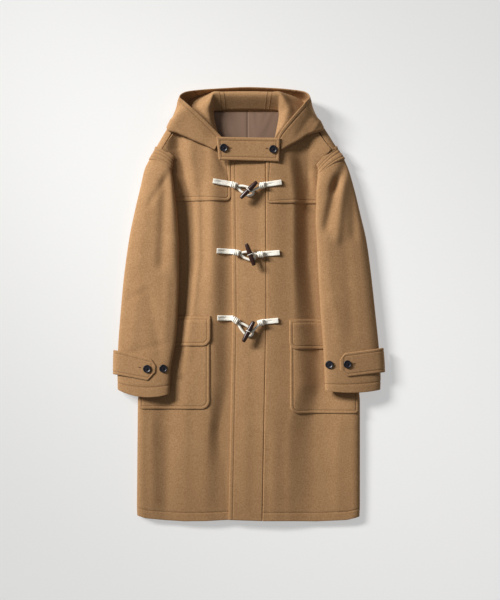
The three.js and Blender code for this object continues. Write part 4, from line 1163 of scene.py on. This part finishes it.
grid = flat_grid(THROAT_CORNERS, 161, 59, throat_z, 9.0)
throat, points = patch_piece("cloth_throat_strap", grid, 0, CLOTH + 0.4, at=9.0,
                             stitch=("left", "right", "low", "high"))
add_cloth(throat, ["throat_strap"])


def rotation_to(direction):
    return Vector(direction).to_track_quat("Z", "Y").to_matrix()


def turned(points, direction, at):
    """Points made round the z axis, turned to a direction and moved to their place."""
    matrix = np.array(rotation_to(direction))
    return np.asarray(points) @ matrix.T + np.asarray(at)


def ring_faces(count, sides):
    """Faces of a skin over `count` rings, closed to a point at each end: the two points come last."""
    index = np.arange(count * sides).reshape(count, sides)
    following = np.roll(index, -1, axis=1)
    walls = np.stack([index[:-1], following[:-1], following[1:], index[1:]], axis=-1).reshape(-1, 4)
    faces = [tuple(f) for f in walls]
    faces += [(count * sides, following[0, k], index[0, k]) for k in range(sides)]
    faces += [(count * sides + 1, index[-1, k], following[-1, k]) for k in range(sides)]
    return faces


def lathe(name, profile, direction, at, sides=40):
    """A closed solid turned round its axis from (height, radius) pairs that start and end on the axis."""
    profile = np.array(profile, float)
    angles = np.linspace(0, 2 * math.pi, sides, endpoint=False)
    rings = np.array([[(r * math.cos(a), r * math.sin(a), h) for a in angles] for h, r in profile[1:-1]])
    points = np.concatenate([rings.reshape(-1, 3), [(0, 0, profile[0, 0]), (0, 0, profile[-1, 0])]])
    count = len(rings)
    return mesh_object(name, turned(points, direction, at), ring_faces(count, sides))


def rope(name, path, radius, pitch=9.0, strands=3, sides=18, lobes=0.14):
    """A twisted cord along a path in mm: its round section has a lobe for each strand, turning as it goes."""
    path = np.array(path, float)
    run = np.concatenate([[0], np.cumsum(np.linalg.norm(np.diff(path, axis=0), axis=1))])
    count = max(8, int(run[-1] / 0.8))
    at = np.linspace(0, run[-1], count)
    centre = np.stack([np.interp(at, run, path[:, axis]) for axis in range(3)], axis=-1)
    for _ in range(2):
        centre[1:-1] = (centre[:-2] + 2 * centre[1:-1] + centre[2:]) / 4
    tangent = np.gradient(centre, axis=0)
    tangent /= np.linalg.norm(tangent, axis=1, keepdims=True)
    side = np.cross(tangent[0], [0.0, 0.0, 1.0])
    if np.linalg.norm(side) < 0.1:
        side = np.cross(tangent[0], [0.0, 1.0, 0.0])
    rings = []
    angles = np.linspace(0, 2 * math.pi, sides, endpoint=False)
    for k in range(count):
        side = side - tangent[k] * np.dot(side, tangent[k])
        side /= np.linalg.norm(side)
        up = np.cross(tangent[k], side)
        swell = 1 - lobes + lobes * np.abs(np.cos(strands / 2 * (angles - 2 * math.pi * at[k] / pitch))) * 2
        end = min(at[k], run[-1] - at[k])
        close = math.sqrt(max(0.02, 1 - max(0, 1 - end / radius) ** 2))
        r = radius * swell / (1 + lobes) * close
        rings.append(centre[k] + (r * np.cos(angles))[:, None] * side + (r * np.sin(angles))[:, None] * up)
    rings = np.array(rings)
    points = np.concatenate([rings.reshape(-1, 3), centre[:1], centre[-1:]])
    return mesh_object(name, points, ring_faces(count, sides))


def show(obj, material, nodes):
    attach(obj, "root")
    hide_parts(*nodes)
    dress(obj, material)


def button(name, at, normal, node):
    """A four-hole button with a raised rim, sewn on with crossed thread."""
    r, h = BUTTON_RADIUS, BUTTON_THICK
    profile = [(0, 0), (0, r * 0.8), (h * 0.35, r * 0.97), (h * 0.62, r), (h * 0.88, r * 0.95), (h, r * 0.87),
               (h * 0.93, r * 0.78), (h * 0.66, r * 0.7), (h * 0.6, r * 0.5), (h * 0.6, 0)]
    disc = lathe(name, profile, normal, at, sides=48)
    show(disc, BUTTON, [node])
    for k, (hx, hy) in enumerate(((2.1, 2.1), (-2.1, 2.1))):
        path = [(hx, hy, h * 0.3), (hx, hy, h * 0.72), (hx / 2, hy / 2, h * 0.98), (-hx / 2, -hy / 2, h * 0.98),
                (-hx, -hy, h * 0.72), (-hx, -hy, h * 0.3)]
        thread = rope(f"{name}_thread_{k + 1}", turned(path, normal, at), 0.55, sides=8, lobes=0.05)
        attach(thread, "root")
        dress(thread, BUTTON_THREAD)


BUTTON_THREAD = plain_material("button_thread", (40, 36, 40), 0.85)
throat_normal = (0, -math.sin(math.atan(7.2 / 60)), math.cos(math.atan(7.2 / 60)))
for number, (x, y), z in ((1, (223.9, 148.4), 49.4), (2, (273, 149.8), 49.2)):
    button(f"sewn_button_{number}", (px(x), py(y), z), throat_normal, f"button_{number}")


def cast_down(obj, x, y):
    """Where a vertical line meets the top of an object, in mm, and the normal there."""
    hit, place, normal, _ = obj.ray_cast(Vector((px(x) / 1000, py(y) / 1000, 0.2)), Vector((0, 0, -1)))
    if not hit:
        raise ValueError(f"nothing of {obj.name} at {x}, {y}")
    return np.array(place) * 1000, np.array(normal)


def buttonhole(name, x, y, turned_by, cloth):
    """The stitched end of a buttonhole beside its button: thread laid in a zigzag on the cloth."""
    keys = []
    for k in range(6):
        far, aside = (k - 2.5) * 1.4, (1.4 if k % 2 else -1.4)
        c, s = math.cos(math.radians(turned_by)), math.sin(math.radians(turned_by))
        at_x, at_y = x + (far * c - aside * s) / MM_PER_PIXEL, y + (far * s + aside * c) / MM_PER_PIXEL
        place, normal = cast_down(cloth, at_x, at_y)
        keys.append(place + normal * 0.25)
    thread = rope(name, keys, 0.6, sides=8, lobes=0.05)
    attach(thread, "root")
    dress(thread, THREAD)


for k, (x, y) in enumerate(((230.1, 148.6), (266.8, 149)), 1):
    buttonhole(f"buttonhole_throat_{k}", x, y, 0, throat)
buttonhole("buttonhole_cuff_left", 140, 367.2, 8, bpy.data.objects["cloth_strap_left"])
buttonhole("buttonhole_cuff_right", 354, 363.4, -8, bpy.data.objects["cloth_strap_right"])

number = 3
for side in ("left", "right"):
    for k, (x, y) in enumerate(SLEEVES[side]["buttons"]):
        under = bpy.data.objects[f"cloth_strap_{side}" if k == 0 else f"cloth_sleeve_{side}"]
        place, normal = cast_down(under, x, y)
        button(f"sewn_button_{number}", place + normal * 0.6, tuple(normal), f"button_{number}")
        number += 1

CLOSURES = [
    {"tape_left": [(213, 181.2), (231, 184)], "knot_left": (233.8, 185.2, -20), "loop_end": (252.6, 193.4),
     "toggle": [(240.7, 198.6), (256.8, 182.5)], "wrap": (249.4, 190), "knot_right": (262.2, 185.8, 8),
     "tape_right": [(265.2, 185), (281.4, 182.6)]},
    {"tape_left": [(216.8, 250.8), (234, 251.8)], "knot_left": (236.8, 252.8, -14), "loop_end": (254.6, 257.4),
     "toggle": [(246.2, 243.7), (254.3, 265.9)], "wrap": (250.4, 254.8), "knot_right": (260.9, 254.6, 0),
     "tape_right": [(264, 254), (279.5, 252.8)]},
    {"tape_left": [(217.4, 318), (233.4, 318.2)], "knot_left": (235.8, 320.4, -35), "loop_end": (251.4, 334.6),
     "toggle": [(253.5, 321.8), (243.5, 341)], "wrap": (248.6, 331.4), "knot_right": (260.9, 322.6, 12),
     "tape_right": [(264, 321.8), (278.2, 320.4)]},
]
KNOT_RADIUS = 9.0
KNOT_LENGTH = 18.4
TAPE_HALF = 2.65  # pixels
TAPE_THICK = 2.8
TOGGLE_SHAPE = [(-1, 0), (-1, 0.56), (-0.985, 0.64), (-0.94, 0.7), (-0.75, 0.84), (-0.45, 0.95), (-0.15, 1),
                (0.15, 1), (0.45, 0.96), (0.75, 0.85), (0.94, 0.72), (0.985, 0.65), (1, 0.57), (1, 0)]


def plan(point, z=0.0):
    return np.array([px(point[0]), py(point[1]), z], float)


def tape(name, ends, gap, node):
    a, b = np.array(ends[0], float), np.array(ends[1], float)
    length = np.linalg.norm(b - a)
    side = np.array([-(b - a)[1], (b - a)[0]]) / length * TAPE_HALF
    s, t = np.meshgrid(np.linspace(0, 1, 90), np.linspace(0, 1, 36))
    plan_points = (a * (1 - s[..., None]) + b * s[..., None]) + side * (1 - 2 * t[..., None])
    x, y = plan_points[..., 0], plan_points[..., 1]
    run = s * length * MM_PER_PIXEL
    ribs = 0.22 * np.abs(np.sin(math.pi * t * 7)) + 0.14 * np.sin(run * 2 * math.pi / 1.7)
    sewn_down = np.exp(-(((t - 0.5) / 0.12) ** 2)) * np.exp(-(((run - 13) / 9) ** 4))
    ribs -= 0.9 * sewn_down
    ribs += 0.5 * np.sin(run / 5.2 + 1.0)
    edge = np.minimum(t, 1 - t) * 2 * TAPE_HALF * MM_PER_PIXEL
    high = round_edge(edge, TAPE_THICK, 1.6) + ribs * np.clip(edge / 1.5, 0, 1)
    base = np.stack([px(x), py(y), top_z(x, y) + gap], axis=-1)
    normals = grid_normals(base)
    normals *= np.sign(normals[..., 2].sum())
    obj = shell(name, base + normals * high[..., None], base)
    show(obj, CORD, [node])
    return obj


def helix(radius, length, turns, steps=40):
    at = np.linspace(0, 1, int(turns * steps) + 1)
    angle = 2 * math.pi * turns * at
    return np.stack([radius * np.cos(angle), radius * np.sin(angle), (at - 0.5) * length], axis=-1)


def knot(name, at, turned_by, node):
    """Cord wound round itself four times, with its end tucked in."""
    direction = (math.cos(math.radians(turned_by)), math.sin(math.radians(turned_by)), 0)
    coil = helix(KNOT_RADIUS - CORD_RADIUS, KNOT_LENGTH - 1.2 * CORD_RADIUS, 3.1)
    obj = rope(name, turned(coil, direction, at), CORD_RADIUS * 0.86, pitch=7, lobes=0.16)
    show(obj, CORD, [node])
    end = KNOT_LENGTH / 2
    profile = [(1 - end, 0), (1.5 - end, 3.6), (0, 4.4), (end - 1.5, 3.6), (end - 1, 0)]
    core = lathe(f"{name}_core", profile, direction, at, sides=24)
    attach(core, "root")
    dress(core, CORD)


def smooth_path(keys, per=16):
    keys = np.array(keys, float)
    padded = np.concatenate([2 * keys[:1] - keys[1:2], keys, 2 * keys[-1:] - keys[-2:-1]])
    share = np.arange(per) / per
    parts = [catmull(*padded[k:k + 4], share) for k in range(len(keys) - 1)]
    return np.concatenate(parts + [keys[-1:]])


for n, c in enumerate(CLOSURES, 1):
    tape(f"woven_tape_left_{n}", c["tape_left"], 1.3, f"tape_left_{n}")
    tape(f"woven_tape_right_{n}", c["tape_right"], 0.85, f"tape_right_{n}")
    wrap_y = c["wrap"][1]
    ground = max(float(top_z(238, wrap_y)), float(top_z(262, wrap_y)))
    knots = {}
    for side in ("left", "right"):
        x, y, by = c[f"knot_{side}"]
        knots[side] = plan((x, y), float(top_z(x, y)) + KNOT_RADIUS + 0.35)
        knot(f"wound_knot_{side}_{n}", knots[side], by, f"knot_{side}_{n}")
    tail, head = plan(c["toggle"][0]), plan(c["toggle"][1])
    along_toggle = (head - tail) / np.linalg.norm(head - tail)
    centre = (head + tail) / 2 + [0, 0, ground + 2 * CORD_RADIUS + TOGGLE_RADIUS + 2.4]
    profile = [(h * TOGGLE_LENGTH / 2, r * TOGGLE_RADIUS) for h, r in TOGGLE_SHAPE]
    show(lathe(f"horn_toggle_{n}", profile, tuple(along_toggle), centre), HORN, [f"toggle_{n}"])
    coil = helix(TOGGLE_RADIUS + 0.4, 2.0, 1.1)
    wrap = rope(f"toggle_wrap_{n}", turned(coil, tuple(along_toggle), centre), 0.8, pitch=4)
    show(wrap, CORD, [f"wrap_{n}"])
    start = plan(c["knot_left"][:2])
    out = plan(c["loop_end"]) - start
    reach = np.linalg.norm(out)
    out /= reach
    across = np.array([-out[1], out[0], 0])
    keys = []
    for far, wide in ((9, 3.0), (13, 3.4), (reach * 0.5, 8), (reach - 4, 8.4), (reach + 1.5, 0), (reach - 4, -8.4),
                      (reach * 0.5, -8), (13, -3.4), (9, -3.0)):
        p = start + out * far + across * wide
        below = float(top_z(p[0] / MM_PER_PIXEL + CENTRE_X, CENTRE_Y - p[1] / MM_PER_PIXEL))
        p[2] = below + CORD_RADIUS + 0.75
        keys.append(p)
    show(rope(f"cord_loop_{n}", smooth_path(keys), CORD_RADIUS), CORD, [f"loop_{n}"])
    side = (knots["right"] - centre) * [1, 1, 0]
    side -= along_toggle * np.dot(side, along_toggle)
    side /= np.linalg.norm(side)
    wrap_side = centre + side * (TOGGLE_RADIUS + 0.5) - [0, 0, 4.5]
    lead = [knots["right"], wrap_side]
    show(rope(f"toggle_lead_{n}", np.linspace(lead[0], lead[1], 30), CORD_RADIUS), CORD, [f"lead_{n}"])

# floor, light and camera: metres, degrees
KEY_TOWARD = (-1.0, 0.55, 0.52)
KEY_SPREAD = 12
CHEST_LIGHT_AT = (-3.3, 2.9, 2.7)
CHEST_AIM = (-0.1, 0.2, 0)
CHEST_LIGHT_CONE = 19
CAMERA_HEIGHT = 4.03
FRAME_TALL = 600 * MM_PER_PIXEL / 1000

bpy.ops.mesh.primitive_plane_add(size=12, location=(0, 0, -0.0005))
floor = bpy.context.object
floor.name = "floor"
floor_finish = plain_material("floor", (188, 187, 184), 0.9)
floor_shader = floor_finish.node_tree.nodes["Principled BSDF"]
floor_shader.inputs["Emission Color"].default_value = (1, 1, 1, 1)
floor_shader.inputs["Emission Strength"].default_value = 0.42
floor.data.materials.append(floor_finish)


def sun_light(name, toward, strength, spread):
    data = bpy.data.lights.new(name, "SUN")
    data.energy = strength
    data.angle = math.radians(spread)
    light = bpy.data.objects.new(name, data)
    COLLECTION.objects.link(light)
    light.rotation_euler = Vector(toward).to_track_quat("Z", "Y").to_euler()


def spot_light(name, place, power, cone, aim):
    data = bpy.data.lights.new(name, "SPOT")
    data.energy = power
    data.spot_size = math.radians(cone)
    data.spot_blend = 1.0
    data.shadow_soft_size = 0.5
    light = bpy.data.objects.new(name, data)
    COLLECTION.objects.link(light)
    light.location = place
    light.rotation_euler = (Vector(aim) - Vector(place)).to_track_quat("-Z", "Y").to_euler()


sun_light("key", KEY_TOWARD, 3.0, KEY_SPREAD)
spot_light("chest", CHEST_LIGHT_AT, 900, CHEST_LIGHT_CONE, CHEST_AIM)
world = bpy.data.worlds.new("world")
bpy.context.scene.world = world
world.use_nodes = True
world.node_tree.nodes["Background"].inputs["Color"].default_value = srgb(236, 238, 240)
world.node_tree.nodes["Background"].inputs["Strength"].default_value = 0.2

camera_data = bpy.data.cameras.new("camera")
camera_data.sensor_fit = "VERTICAL"
camera_data.sensor_height = 36
camera_data.lens = 36 * (CAMERA_HEIGHT - 0.03) / FRAME_TALL
camera = bpy.data.objects.new("camera", camera_data)
COLLECTION.objects.link(camera)
camera.location = (float(px(250)) / 1000, float(py(300)) / 1000, CAMERA_HEIGHT)
bpy.context.scene.camera = camera
bpy.context.scene.view_settings.view_transform = "Standard"
